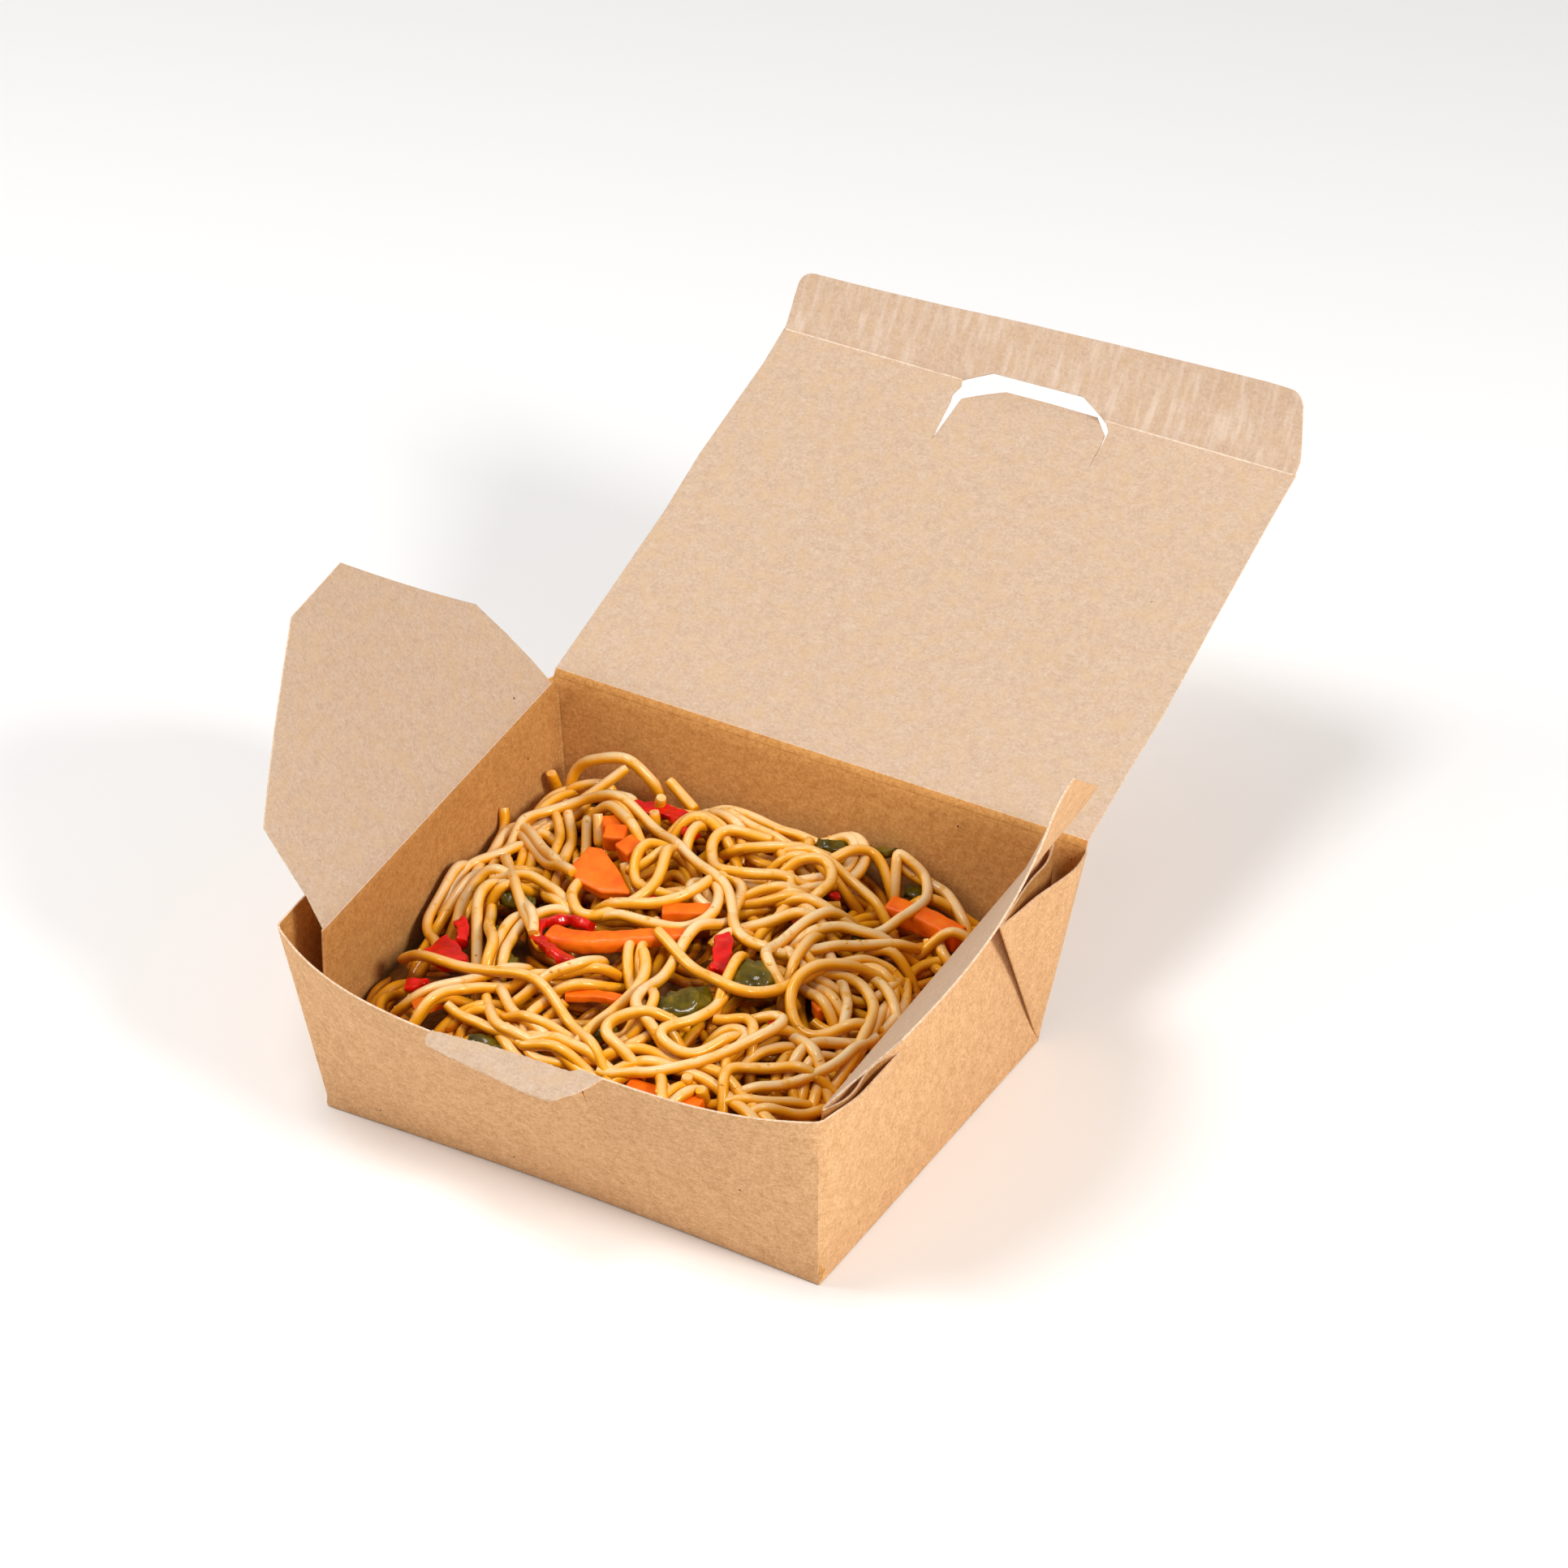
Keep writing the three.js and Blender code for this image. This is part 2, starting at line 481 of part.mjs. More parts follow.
// Balls that cover a topping, which the noodles keep clear of.
function toppingGuards(topping) {
  const { size, lift } = topping;
  if (topping.path) {
    const curve = new THREE.CatmullRomCurve3(topping.path.map((p) => onHeap(p, lift)), false, 'centripetal');
    const count = Math.ceil(curve.getLength() / 1.5);
    return curve.getSpacedPoints(count).map((at) => ({ at, radius: Math.max(...size) / 2 }));
  }
  const [length, width] = size;
  const turn = radians(topping.turn);
  const centre = onHeap(topping.block ?? topping.lump, lift);
  const reach = Math.max(length - width, 0) / 2;
  const radius = topping.block ? Math.hypot(width, Math.min(length, width)) / 2 : width / 2;
  return [-1, -0.5, 0, 0.5, 1].map((k) => ({
    at: centre.clone().add(v3(Math.cos(turn), Math.sin(turn), 0).multiplyScalar(k * reach)), radius,
  }));
}

// ---------------------------------------------------------------- food: noodles
// The noodles that lie on top of the heap, each by a few [x, y] points of its middle line.
const MAIN_NOODLES = [
  [[-68, -33], [-46, -40], [-31, -37], [-17, -40], [-3, -45], [7, -50], [15, -56]],
  [[-29, -29], [-41, -42], [-50, -47], [-60, -52]],
  [[48, 12], [38, 3], [37, -8], [44, -18], [55, -20], [62, -13], [60, -1], [53, 6], [44, 8]],
  [[9, -12], [20, -17], [29, -19], [35, -15], [40, -6], [45, 5], [53, 9], [64, 5]],
  [[61, -4], [65, -17], [58, -29], [50, -41], [39, -46]],
  [[-20, -1], [-14, 0], [-6, -2.5], [3, 4.5], [2, 17]],
  [[-29, 39], [-14, 31], [-5, 24], [3, 19], [9, 12], [13, 8]],
  [[-12, 12], [-6, 22], [1, 27], [7, 20], [10, 9], [18, 3], [26, 2]],
  [[-71, 56], [-68, 60], [-60, 61], [-50, 60]],
  [[-69, 33], [-63, 45], [-57, 56]],
  [[-71, 30], [-61, 41], [-53, 38], [-36, 38]],
  [[43, 28], [36, 32], [31, 45], [33, 57], [41, 50]],
  [[-68, -27], [-67, -10], [-63, 3], [-60, 20]],
  [[-19, -57], [-12, -51], [0, -51], [12, -50]],
  [[24, -47], [33, -39], [41, -31], [47, -21]],
  [[33, -7], [31, 4], [32, 18], [33, 24]],
  [[22, -44], [29, -45], [35, -38], [36, -30]],
  [[-6, -12], [1, -21], [8, -33], [13, -40]],
  [[-19, 57], [-3, 55], [8, 51]],
  [[-10, 31], [-12, 43], [-2, 48], [10, 46], [16, 38], [14, 30]],
];

function seededRandom(seed) {
  let state = seed;
  return () => {
    state = (state * 1664525 + 1013904223) % 4294967296;
    return state / 4294967296;
  };
}

// A wandering noodle: it starts anywhere on the heap and turns smoothly one way, then the other.
function wanderingNoodle(random) {
  const points = [[lerp(-70, 70, random()), lerp(-54, 56, random())]];
  let heading = random() * 2 * Math.PI;
  let turn = lerp(-0.5, 0.5, random());
  const length = 8 + Math.floor(random() * 6);
  for (let k = 0; k < length; k++) {
    turn = THREE.MathUtils.clamp(turn + lerp(-0.35, 0.35, random()), -0.8, 0.8);
    heading += turn;
    const [x, y] = points[points.length - 1];
    points.push([x + 8 * Math.cos(heading), y + 8 * Math.sin(heading)]);
  }
  return points;
}

// The longest stretch of a noodle that stays inside the walls and clear of every topping.
function clearStretch(points, guards) {
  let best = [];
  let run = [];
  for (const point of [...points, null]) {
    if (point && isClear(point, guards)) {
      run.push(point);
    } else {
      if (run.length > best.length) best = run;
      run = [];
    }
  }
  return best;
}

function isClear(point, guards) {
  const limits = wallLimits(point.x, point.y, point.z);
  const inside = point.x > limits.left + NOODLE_RADIUS && point.x < limits.right - NOODLE_RADIUS
    && point.y > Math.max(limits.front, TUCK_SPACE_Y) + NOODLE_RADIUS && point.y < limits.back - NOODLE_RADIUS;
  return inside && guards.every(({ at, radius }) => at.distanceTo(point) > radius + NOODLE_RADIUS + TOPPING_GAP);
}

function noodleSolid(flatPoints, lift, guards) {
  const rough = new THREE.CatmullRomCurve3(flatPoints.map((p) => onHeap(p, lift)), false, 'centripetal');
  const samples = rough.getSpacedPoints(Math.ceil(rough.getLength() / 1.4));
  samples.forEach((point) => { point.z = heapHeight(point.x, point.y) + lift; });
  const kept = clearStretch(samples, guards);
  if (kept.length < 8) return null;
  const section = Array.from({ length: NOODLE_SIDES }, (_, k) => {
    const angle = 2 * Math.PI * k / NOODLE_SIDES;
    return [NOODLE_RADIUS * Math.cos(angle), NOODLE_RADIUS * Math.sin(angle)];
  });
  return sweepStrip(kept.filter((_, k) => k % 3 === 0 || k === kept.length - 1), section, NOODLE_STEP);
}

// ---------------------------------------------------------------- assembly
addNode('tray', fromManifold(makeTray()), PAPER.kraft, 0.8);
addNode('lid_crease', fromManifold(makeStrip()), PAPER.kraftInner, 0.8);
addNode('lid', fromManifold(makeLid()), PAPER.kraftInner, 0.8);
addNode('tuck_flap', fromManifold(makeTuck()), PAPER.kraftInner, 0.8);
addNode('flap_left', fromManifold(makeFlap('Left', FLAP.leanLeft)), PAPER.kraftInner, 0.8);
addNode('flap_right', fromManifold(makeFlap('Right', FLAP.leanRight)), PAPER.kraftInner, 0.8);
addNode('front_tab', fromManifold(makeTab()), PAPER.kraftInner, 0.8);

const core = makeCore();
const clearance = core.translate([0, 0, TOPPING_GAP]);
for (const topping of TOPPINGS) {
  const solid = mainBody(toppingSolid(topping).subtract(clearance));
  addNode(topping.name, fromManifold(solid), topping.color, 0.35);
}

const guards = TOPPINGS.flatMap(toppingGuards);
const random = seededRandom(SEED);
const paths = [...MAIN_NOODLES, ...Array.from({ length: RANDOM_NOODLES }, () => wanderingNoodle(random))];
const noodles = paths.map((path) => noodleSolid(path, lerp(0.7, 2, random()), guards)).filter(Boolean);
addNode('noodles', fromManifold(mainBody(union([core, ...noodles]))), FOOD.noodle, 0.4);

export default group;
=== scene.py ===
# %% [markdown]
# # A takeaway box of fried noodles
# A kraft board box stands open, filled with noodles and cut vegetables. Its walls, lid and flaps are
# one die-cut sheet of board, folded on scored lines. The solid model gives every moving panel and
# where it turns. This lesson dresses it: board with fibres in it, noodles that lie on each other, and
# glossy vegetables. All measures are in millimetres until a mesh is made.

# %% Load the fixed frame
import math
import random

import bmesh
import bpy
import numpy as np
from mathutils import Matrix, Vector, noise
from mathutils.geometry import delaunay_2d_cdt


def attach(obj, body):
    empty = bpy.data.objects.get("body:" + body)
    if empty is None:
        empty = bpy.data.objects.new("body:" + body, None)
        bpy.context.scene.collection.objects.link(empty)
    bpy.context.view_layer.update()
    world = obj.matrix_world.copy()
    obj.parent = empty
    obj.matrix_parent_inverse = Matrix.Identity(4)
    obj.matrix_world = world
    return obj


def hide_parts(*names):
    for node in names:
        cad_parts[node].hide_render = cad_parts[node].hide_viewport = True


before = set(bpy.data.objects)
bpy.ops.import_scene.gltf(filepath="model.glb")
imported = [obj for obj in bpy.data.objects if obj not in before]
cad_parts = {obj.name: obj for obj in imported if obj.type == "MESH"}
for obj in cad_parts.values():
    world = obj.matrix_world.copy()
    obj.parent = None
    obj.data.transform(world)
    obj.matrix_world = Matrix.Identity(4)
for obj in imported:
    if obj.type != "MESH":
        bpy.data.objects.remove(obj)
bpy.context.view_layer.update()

MM = 0.001

# %% [markdown]
# ## Camera and studio
# A long lens from far off keeps the box's edges nearly parallel, as in a catalogue. The camera could
# be aimed with a constraint, but its three directions written out as a matrix can't drift.

# %% Camera
AZIMUTH, ELEVATION, ROLL = (math.radians(angle) for angle in (31.492, 34.303, -1.144))
CAMERA_PLACE = Vector((0.56843, -0.87485, 0.80499))

backward = Vector((math.sin(AZIMUTH) * math.cos(ELEVATION),
                   -math.cos(AZIMUTH) * math.cos(ELEVATION), math.sin(ELEVATION)))
level = Vector((math.cos(AZIMUTH), math.sin(AZIMUTH), 0))
upward = backward.cross(level)
rightward = math.cos(ROLL) * level + math.sin(ROLL) * upward
upward = math.cos(ROLL) * upward - math.sin(ROLL) * level

camera = bpy.data.objects.new("camera", bpy.data.cameras.new("camera"))
camera.data.lens = 111.8
camera.data.sensor_width = 36
camera.matrix_world = (Matrix.Translation(CAMERA_PLACE)
                       @ Matrix((rightward, upward, backward)).transposed().to_4x4())
bpy.context.scene.collection.objects.link(camera)
bpy.context.scene.camera = camera

# %% [markdown]
# The box stands on a white sweep. A broad key light on the right makes the side wall the brightest
# face, a weaker one fills the front, and one overhead puts soft highlights on the sauce. Area lights
# are used because their size sets how soft the shadows are.

# %% Floor and lights
def area_light(name, place, size, watts, tint=(1, 1, 1)):
    light = bpy.data.lights.new(name, "AREA")
    light.shape = "DISK"
    light.size = size
    light.energy = watts
    light.color = tint
    lamp = bpy.data.objects.new(name, light)
    lamp.location = place
    aim = Vector((0, 0.02, 0.04)) - Vector(place)
    lamp.rotation_euler = aim.to_track_quat("-Z", "Y").to_euler()
    bpy.context.scene.collection.objects.link(lamp)


area_light("key_light", (1.22, -0.22, 0.98), 0.45, 16.5, (1.0, 0.985, 0.965))
area_light("left_fill", (-1.20, -0.50, 0.95), 0.7, 10.5, (1.0, 0.965, 0.93))
area_light("top_light", (-0.12, -0.24, 1.35), 0.4, 6.6)

world = bpy.data.worlds.new("studio_air")
world.use_nodes = True
world.node_tree.nodes["Background"].inputs["Color"].default_value = (1, 1, 1, 1)
world.node_tree.nodes["Background"].inputs["Strength"].default_value = 0.35
bpy.context.scene.world = world
bpy.context.scene.view_settings.view_transform = "Standard"

floor_mesh = bpy.data.meshes.new("floor")
floor_mesh.from_pydata([(-4, -4, 0), (4, -4, 0), (4, 4, 0), (-4, 4, 0)], [], [(0, 1, 2, 3)])
floor = bpy.data.objects.new("floor", floor_mesh)
floor.location.z = -0.0003
bpy.context.scene.collection.objects.link(floor)
floor_paint = bpy.data.materials.new("floor_paint")
floor_paint.use_nodes = True
floor_shader = floor_paint.node_tree.nodes["Principled BSDF"]
floor_shader.inputs["Base Color"].default_value = (0.93, 0.93, 0.93, 1)
floor_shader.inputs["Roughness"].default_value = 0.9
floor_mesh.materials.append(floor_paint)

# %% [markdown]
# ## Kraft board
# Kraft board is pressed wood fibre: a tan ground with darker and lighter clouds a millimetre or two
# across, short pale fibres, and now and then a dark speck. A picture of board would blur up close, so
# the pattern is worked out from noise. The same pattern serves the outside, the paler inside and the
# raw cut edges, so it is one shader group that gives out a shade, a speck mask and a height.

# %% Helpers for shader nodes
def put(tree, kind, inputs=None, **settings):
    """Adds a node, with its settings and with its sockets' values or links."""
    node = tree.nodes.new(kind)
    for setting, value in settings.items():
        setattr(node, setting, value)
    for socket, value in (inputs or {}).items():
        if isinstance(value, bpy.types.NodeSocket):
            tree.links.new(value, node.inputs[socket])
        else:
            node.inputs[socket].default_value = value
    return node


def maths(tree, operation, *values):
    """What a calculation makes of sockets or fixed numbers."""
    return put(tree, "ShaderNodeMath", dict(enumerate(values)), operation=operation).outputs[0]


def cloudy(tree, place, scale, detail, roughness=0.5):
    """Noise at a place."""
    return put(tree, "ShaderNodeTexNoise", {
        "Vector": place, "Scale": scale, "Detail": detail, "Roughness": roughness}).outputs[0]


def stretched(tree, place, scales, rotation=(0, 0, 0)):
    """A place turned and scaled, so that noise read there is drawn out."""
    return put(tree, "ShaderNodeMapping", {
        "Vector": place, "Rotation": rotation, "Scale": scales}).outputs[0]


def object_place(tree):
    return put(tree, "ShaderNodeTexCoord").outputs["Object"]


def steps(tree, value, low, high):
    """A value stretched so that low becomes 0 and high becomes 1."""
    return put(tree, "ShaderNodeMapRange", {
        "Value": value, "From Min": low, "From Max": high}).outputs["Result"]


def blend_colour(tree, amount, first, second):
    """Mixes two colours by an amount. Each colour is a socket or three numbers."""
    first, second = ((*c, 1) if isinstance(c, tuple) else c for c in (first, second))
    return put(tree, "ShaderNodeMix", {0: amount, 6: first, 7: second}, data_type="RGBA").outputs[2]


def new_material(name, colour, values):
    """A material whose shader has a colour and other fixed values."""
    material = bpy.data.materials.new(name)
    material.use_nodes = True
    shader = material.node_tree.nodes["Principled BSDF"]
    for socket, value in {"Base Color": (*colour, 1), **values}.items():
        shader.inputs[socket].default_value = value
    return material, material.node_tree, shader


def paint(tree, shader, colour, height, strength, depth):
    """Gives a shader its varying colour, and a height as a bump."""
    bump = put(tree, "ShaderNodeBump", {"Height": height, "Strength": strength, "Distance": depth})
    tree.links.new(colour, shader.inputs["Base Color"])
    tree.links.new(bump.outputs[0], shader.inputs["Normal"])

# %% The board's fibre pattern
fibres = bpy.data.node_groups.new("board_fibres", "ShaderNodeTree")
for label, value in {"Cloud size": 3.2, "Grain size": 0.9, "Speck share": 0.015}.items():
    socket = fibres.interface.new_socket(label, in_out="INPUT", socket_type="NodeSocketFloat")
    socket.default_value = value
for label in ("Shade", "Speck", "Height"):
    fibres.interface.new_socket(label, in_out="OUTPUT", socket_type="NodeSocketFloat")
fibres_in = fibres.nodes.new("NodeGroupInput").outputs
fibres_out = fibres.nodes.new("NodeGroupOutput").inputs
board_place = object_place(fibres)
clouds, grain = (
    cloudy(fibres, board_place, maths(fibres, "DIVIDE", 1000.0, fibres_in[label]), detail, roughness)
    for label, detail, roughness in (("Cloud size", 3.0, 0.6), ("Grain size", 4.0, 0.7)))
leaning, crossing = (
    cloudy(fibres, stretched(fibres, board_place, scales, rotation), 1.0, 2.0)
    for scales, rotation in (((420, 1500, 1300), (0.5, 0.7, 0.3)), ((400, 1400, 1500), (1.1, 0.2, 1.2))))
hairs = maths(fibres, "MAXIMUM", leaning, crossing)
pale_flecks = steps(fibres, cloudy(fibres, board_place, 2100.0, 1.0), 0.62, 0.74)
shade = maths(fibres, "MULTIPLY", clouds, 0.40)
for part, share in ((grain, 0.80), (hairs, 0.30), (pale_flecks, 0.22)):
    shade = maths(fibres, "MULTIPLY_ADD", part, share, shade)
specks = put(fibres, "ShaderNodeTexVoronoi", {"Vector": board_place, "Scale": 260.0, "Randomness": 1.0})
speck_pick = put(fibres, "ShaderNodeSeparateColor", {"Color": specks.outputs["Color"]})
chosen = maths(fibres, "LESS_THAN", speck_pick.outputs[0], fibres_in["Speck share"])
near = maths(fibres, "LESS_THAN", specks.outputs["Distance"], 0.09)
fibres.links.new(steps(fibres, shade, 0.62, 0.96), fibres_out["Shade"])
fibres.links.new(maths(fibres, "MULTIPLY", chosen, near), fibres_out["Speck"])
fibres.links.new(maths(fibres, "ADD", hairs, grain), fibres_out["Height"])

# %% Board finishes
SPECK_COLOUR = (0.10, 0.045, 0.02)


def board_finish(name, dark, light, cloud_size, yellowed=None, wrinkle_light_streaks=None):
    material, tree, shader = new_material(name, light, {"Roughness": 0.82, "Specular IOR Level": 0.25})
    pattern = put(tree, "ShaderNodeGroup", {"Cloud size": cloud_size}, node_tree=fibres).outputs
    tone = blend_colour(tree, pattern["Shade"], dark, light)
    # Yellowed clouds are the board's own tone; the pale streaks, used on the tuck flap, are painted light
    # on its wrinkles.
    for colour, scales, low in ((yellowed, (210, 210, 210), 0.42), (wrinkle_light_streaks, (460, 90, 90), 0.46)):
        if colour:
            stain = cloudy(tree, stretched(tree, object_place(tree), scales), 1.0, 4.0)
            tone = blend_colour(tree, steps(tree, stain, low, 1.0), tone, colour)
    tone = blend_colour(tree, pattern["Speck"], tone, SPECK_COLOUR)
    paint(tree, shader, tone, pattern["Height"], 0.35, 0.00008)
    return material


board_outside = board_finish("board_outside", (0.58, 0.305, 0.13), (0.84, 0.51, 0.26), 3.4)
board_inside = board_finish("board_inside", (0.495, 0.338, 0.230), (0.620, 0.470, 0.352), 2.6,
                            yellowed=(0.600, 0.410, 0.235))
# The tuck flap's pale streaks are painted light, where its wrinkles and crease catch the lamps.
board_tuck = board_finish("board_tuck", (0.495, 0.335, 0.225), (0.615, 0.460, 0.342), 2.6,
                          yellowed=(0.560, 0.380, 0.220), wrinkle_light_streaks=(0.72, 0.60, 0.50))
# The tray's inner faces and the crease strip take a darker, more orange copy of the inside board: painted
# shade and bounced light inside the tray, not a separate lining.
board_inside_shaded = board_finish("board_inside_shaded", (0.47, 0.205, 0.05), (0.70, 0.365, 0.115), 2.6)
board_edge = board_finish("board_edge", (0.60, 0.39, 0.23), (0.84, 0.66, 0.48), 1.2)
board_score = board_finish("board_score", (0.66, 0.50, 0.37), (0.82, 0.67, 0.54), 1.6)
print("board finishes:", [m.name for m in bpy.data.materials if m.name.startswith("board")])

# %% [markdown]
# ## Sheets of board
# Every panel is a thin sheet with a flat cut-out outline that has been bent into place. So a sheet is
# made from its outline in the flat and from a rule that says where each flat point lies in the box.
# Extruding a curve would give a flat panel only. A constrained triangulation fills any outline, slits
# and notches included, and the rule bends it. A cut edge is square and pale, a perforated one is
# ragged, and a folded one is rounded about the fold line, so that two panels meet in a knuckle that
# stays closed however far the fold is opened.

# %% Outlines in the flat
BOARD = 0.55
EDGE_STEP = {"cut": 1.6, "fold": 2.2, "torn": 0.5}
TORN_DEPTH, TORN_SIZE = 0.32, 1.3


def edges(how, *corners):
    """Outline corners from each of which an edge of one kind starts."""
    return [(x, y, how) for x, y in corners]


def all_folded(width, height):
    return edges("fold", (0, 0), (width, 0), (width, height), (0, height))


def along_outline(outline):
    """Close points along an outline, and the kind of edge each is on."""
    spots, kinds = [], []
    for (x0, y0, how), (x1, y1, _) in zip(outline, outline[1:] + outline[:1]):
        start, end = np.array((x0, y0), float), np.array((x1, y1), float)
        length = float(np.linalg.norm(end - start))
        side = np.array((end[1] - start[1], start[0] - end[0])) / length
        count = max(1, round(length / EDGE_STEP[how]))
        for k in range(count):
            spot = start + (end - start) * k / count
            if how == "torn" and k:
                where = Vector((spot[0] * TORN_SIZE, spot[1] * TORN_SIZE, 0.5))
                spot = spot + side * TORN_DEPTH * noise.noise(where)
            spots.append(spot)
            kinds.append(how)
    return np.array(spots), kinds


def inside_grid(edge, spacing):
    """Grid points inside an outline and clear of its edge."""
    low, high = edge.min(0), edge.max(0)
    xs = np.arange(low[0] + spacing / 2, high[0], spacing)
    ys = np.arange(low[1] + spacing / 2, high[1], spacing)
    spots = np.stack(np.meshgrid(xs, ys), -1).reshape(-1, 2)
    start, end = edge, np.roll(edge, -1, 0)
    crosses = (start[:, 1] > spots[:, 1:]) != (end[:, 1] > spots[:, 1:])
    rise = np.where(np.abs(end[:, 1] - start[:, 1]) < 1e-9, 1e-9, end[:, 1] - start[:, 1])
    at = start[:, 0] + (spots[:, 1:] - start[:, 1]) / rise * (end[:, 0] - start[:, 0])
    inside = (crosses & (spots[:, :1] < at)).sum(1) % 2 == 1
    reach = end - start
    share = np.clip(((spots[:, None] - start) * reach).sum(2) / (reach ** 2).sum(1), 0, 1)
    gap = np.linalg.norm(spots[:, None] - start - share[..., None] * reach, axis=2).min(1)
    return spots[inside & (gap > spacing * 0.55)]

# %% From outline to bent sheet
SLOPE_STEP, SWAY_SIZE, CUT_ROUND = 0.02, 26, 0.12


def unit_rows(vectors, tiny=0.0):
    """Vectors brought to a length of one."""
    return vectors / (np.linalg.norm(vectors, axis=1)[:, None] + tiny)


def new_piece(name, points, faces, finishes, finish_ids=None, sharp=38):
    """A smooth-shaded mesh object from points in millimetres, kept sharp past an angle."""
    mesh = bpy.data.meshes.new(name)
    mesh.from_pydata((np.asarray(points) * MM).tolist(), [], faces)
    for finish in finishes:
        mesh.materials.append(finish)
    if finish_ids is not None:
        mesh.polygons.foreach_set("material_index", finish_ids)
    mesh.polygons.foreach_set("use_smooth", [True] * len(mesh.polygons))
    mesh.set_sharp_from_angle(angle=math.radians(sharp))
    mesh.update()
    piece = bpy.data.objects.new(name, mesh)
    bpy.context.scene.collection.objects.link(piece)
    return piece


def bent_sheet(name, outline, place, spacing=3.0, inner_up=True, finishes=None, ripple=0.12):
    """A sheet of board. place(x, y) puts flat points into the box; the up side is x crossed with y."""
    if sum(a[0] * b[1] - b[0] * a[1] for a, b in zip(outline, outline[1:] + outline[:1])) < 0:
        turned_round = outline[::-1]
        kinds = [corner[2] for corner in turned_round]
        outline = [(x, y, how) for (x, y, _), how in zip(turned_round, kinds[1:] + kinds[:1])]
    edge, kinds = along_outline(outline)
    spots, _, flat_faces, origins, *_ = delaunay_2d_cdt(
        [Vector(spot) for spot in np.vstack([edge, inside_grid(edge, spacing)])], [],
        [list(range(len(edge)))], 1, 1e-6)
    x, y = np.array([tuple(spot) for spot in spots]).T
    count, loop = len(x), [0] * len(edge)
    for index, sources in enumerate(origins):
        for source in sources:
            if source < len(edge):
                loop[source] = index

    middle = place(x, y)
    across = place(x + SLOPE_STEP, y) - place(x - SLOPE_STEP, y)
    along = place(x, y + SLOPE_STEP) - place(x, y - SLOPE_STEP)
    normal = unit_rows(np.cross(across, along), 1e-12)
    sway = ripple * np.array([noise.noise(Vector(tuple(p / SWAY_SIZE))) for p in middle])
    sway[loop] = 0
    middle = middle + normal * sway[:, None]

    points = [middle + normal * BOARD / 2, middle - normal * BOARD / 2]
    faces = [list(face) for face in flat_faces]
    faces += [[i + count for i in reversed(face)] for face in flat_faces]
    finishes = finishes or (board_inside, board_outside, board_edge, board_score)
    inner, outer, raw = 0, 1, 2
    score = 3 if len(finishes) > 3 else inner
    upper, lower = (inner, outer) if inner_up else (outer, inner)
    ids = [upper] * len(flat_faces) + [lower] * len(flat_faces)

    heading = unit_rows(np.roll(edge, -1, 0) - np.roll(edge, 1, 0), 1e-12)
    outward = across[loop] * heading[:, 1:] - along[loop] * heading[:, :1]
    outward -= normal[loop] * (outward * normal[loop]).sum(1)[:, None]
    outward = unit_rows(outward, 1e-12)
    folded = np.array([how == "fold" or kinds[i - 1] == "fold" for i, how in enumerate(kinds)])
    roundness = np.where(folded, 1.0, CUT_ROUND)
    rows = [list(loop)]
    for k, angle in enumerate((45, 0, -45)):
        turn = math.radians(angle)
        points.append(middle[loop] + normal[loop] * (BOARD / 2 * math.sin(turn))
                      + outward * (roundness * BOARD / 2 * math.cos(turn))[:, None])
        rows.append([2 * count + k * len(loop) + i for i in range(len(loop))])
    rows.append([i + count for i in loop])
    for k, (row, next_row) in enumerate(zip(rows, rows[1:])):
        for i, how in enumerate(kinds):
            j = (i + 1) % len(loop)
            faces.append([next_row[i], next_row[j], row[j], row[i]])
            face_up = (k < 2) == inner_up
            ids.append(raw if how != "fold" else score if face_up else outer)
    return new_piece(name, np.vstack(points), faces, finishes, ids)

# %% [markdown]
# ## The tray
# The tray's four walls lean outwards. At each corner a web of board joins two walls, folded once on a
# diagonal so that it lies flat against the side wall and holds sauce in. The front wall and its two
# outer web layers are one strip that wraps round both corners, and so is the back wall. Lofting each
# wall alone would leave a seam at the corners, so each strip is one sheet, with the corner rounded.

# %% Corners of the tray
BASE_Z = BOARD / 2
RIM_Z, CREASE_Z, BACK_CREASE_Z, TIP_Z = 62.2, 61.3, 61.5, 61.0
HEIGHT = RIM_Z - BASE_Z


def corner_points(**points):
    return {name: np.array(point, float) for name, point in points.items()}


FOOT = corner_points(front_left=(-76, -60, BASE_Z), front_right=(76, -58.6, BASE_Z),
                     back_left=(-76, 59.3, BASE_Z), back_right=(75.6, 58.9, BASE_Z))
RIM = corner_points(front_left=(-81.8, -67.5, RIM_Z), front_right=(83.1, -68.4, RIM_Z),
                    back_left=(-85, 69, BACK_CREASE_Z), back_right=(85.2, 67.6, BACK_CREASE_Z))
CREASE = corner_points(front_left=(-70.8, -62.8, CREASE_Z), front_right=(80.5, -63.2, CREASE_Z),
                       back_left=(-83.4, 66.4, CREASE_Z), back_right=(74.6, 65.4, CREASE_Z))
TIP = corner_points(front_left=(-83, -25, TIP_Z), front_right=(85.2, -33, TIP_Z),
                    back_left=(-86, 27, TIP_Z), back_right=(81.4, 26, TIP_Z))


def mix(a, b, t):
    """The point or points from a to b by t."""
    return a + (b - a) * np.asarray(t, float)[..., None]


def part_way(a, b, t):
    """The number or numbers from a to b by t."""
    return a + (b - a) * t


def soft_step(x):
    x = np.clip(x, 0, 1)
    return x * x * (3 - 2 * x)


def arch(x):
    return np.sin(np.pi * np.clip(x, 0, 1))


# %% Where the walls lie
FRONT_INSET, FRONT_OVERHANG, SIDE_BULGE = 1.6, 8.2, 2.2
FRONT_BULGES = (13.6, 9.4)
TAB_FROM, TAB_TO = -23.5, 17.5
SLIT_X, SLIT_DEPTH = 17, 14


def floor_place(u, v):
    front = mix(FOOT["front_left"], FOOT["front_right"], u)
    front[..., 1] += FRONT_INSET * arch(u)
    return mix(front, mix(FOOT["back_left"], FOOT["back_right"], u), v)


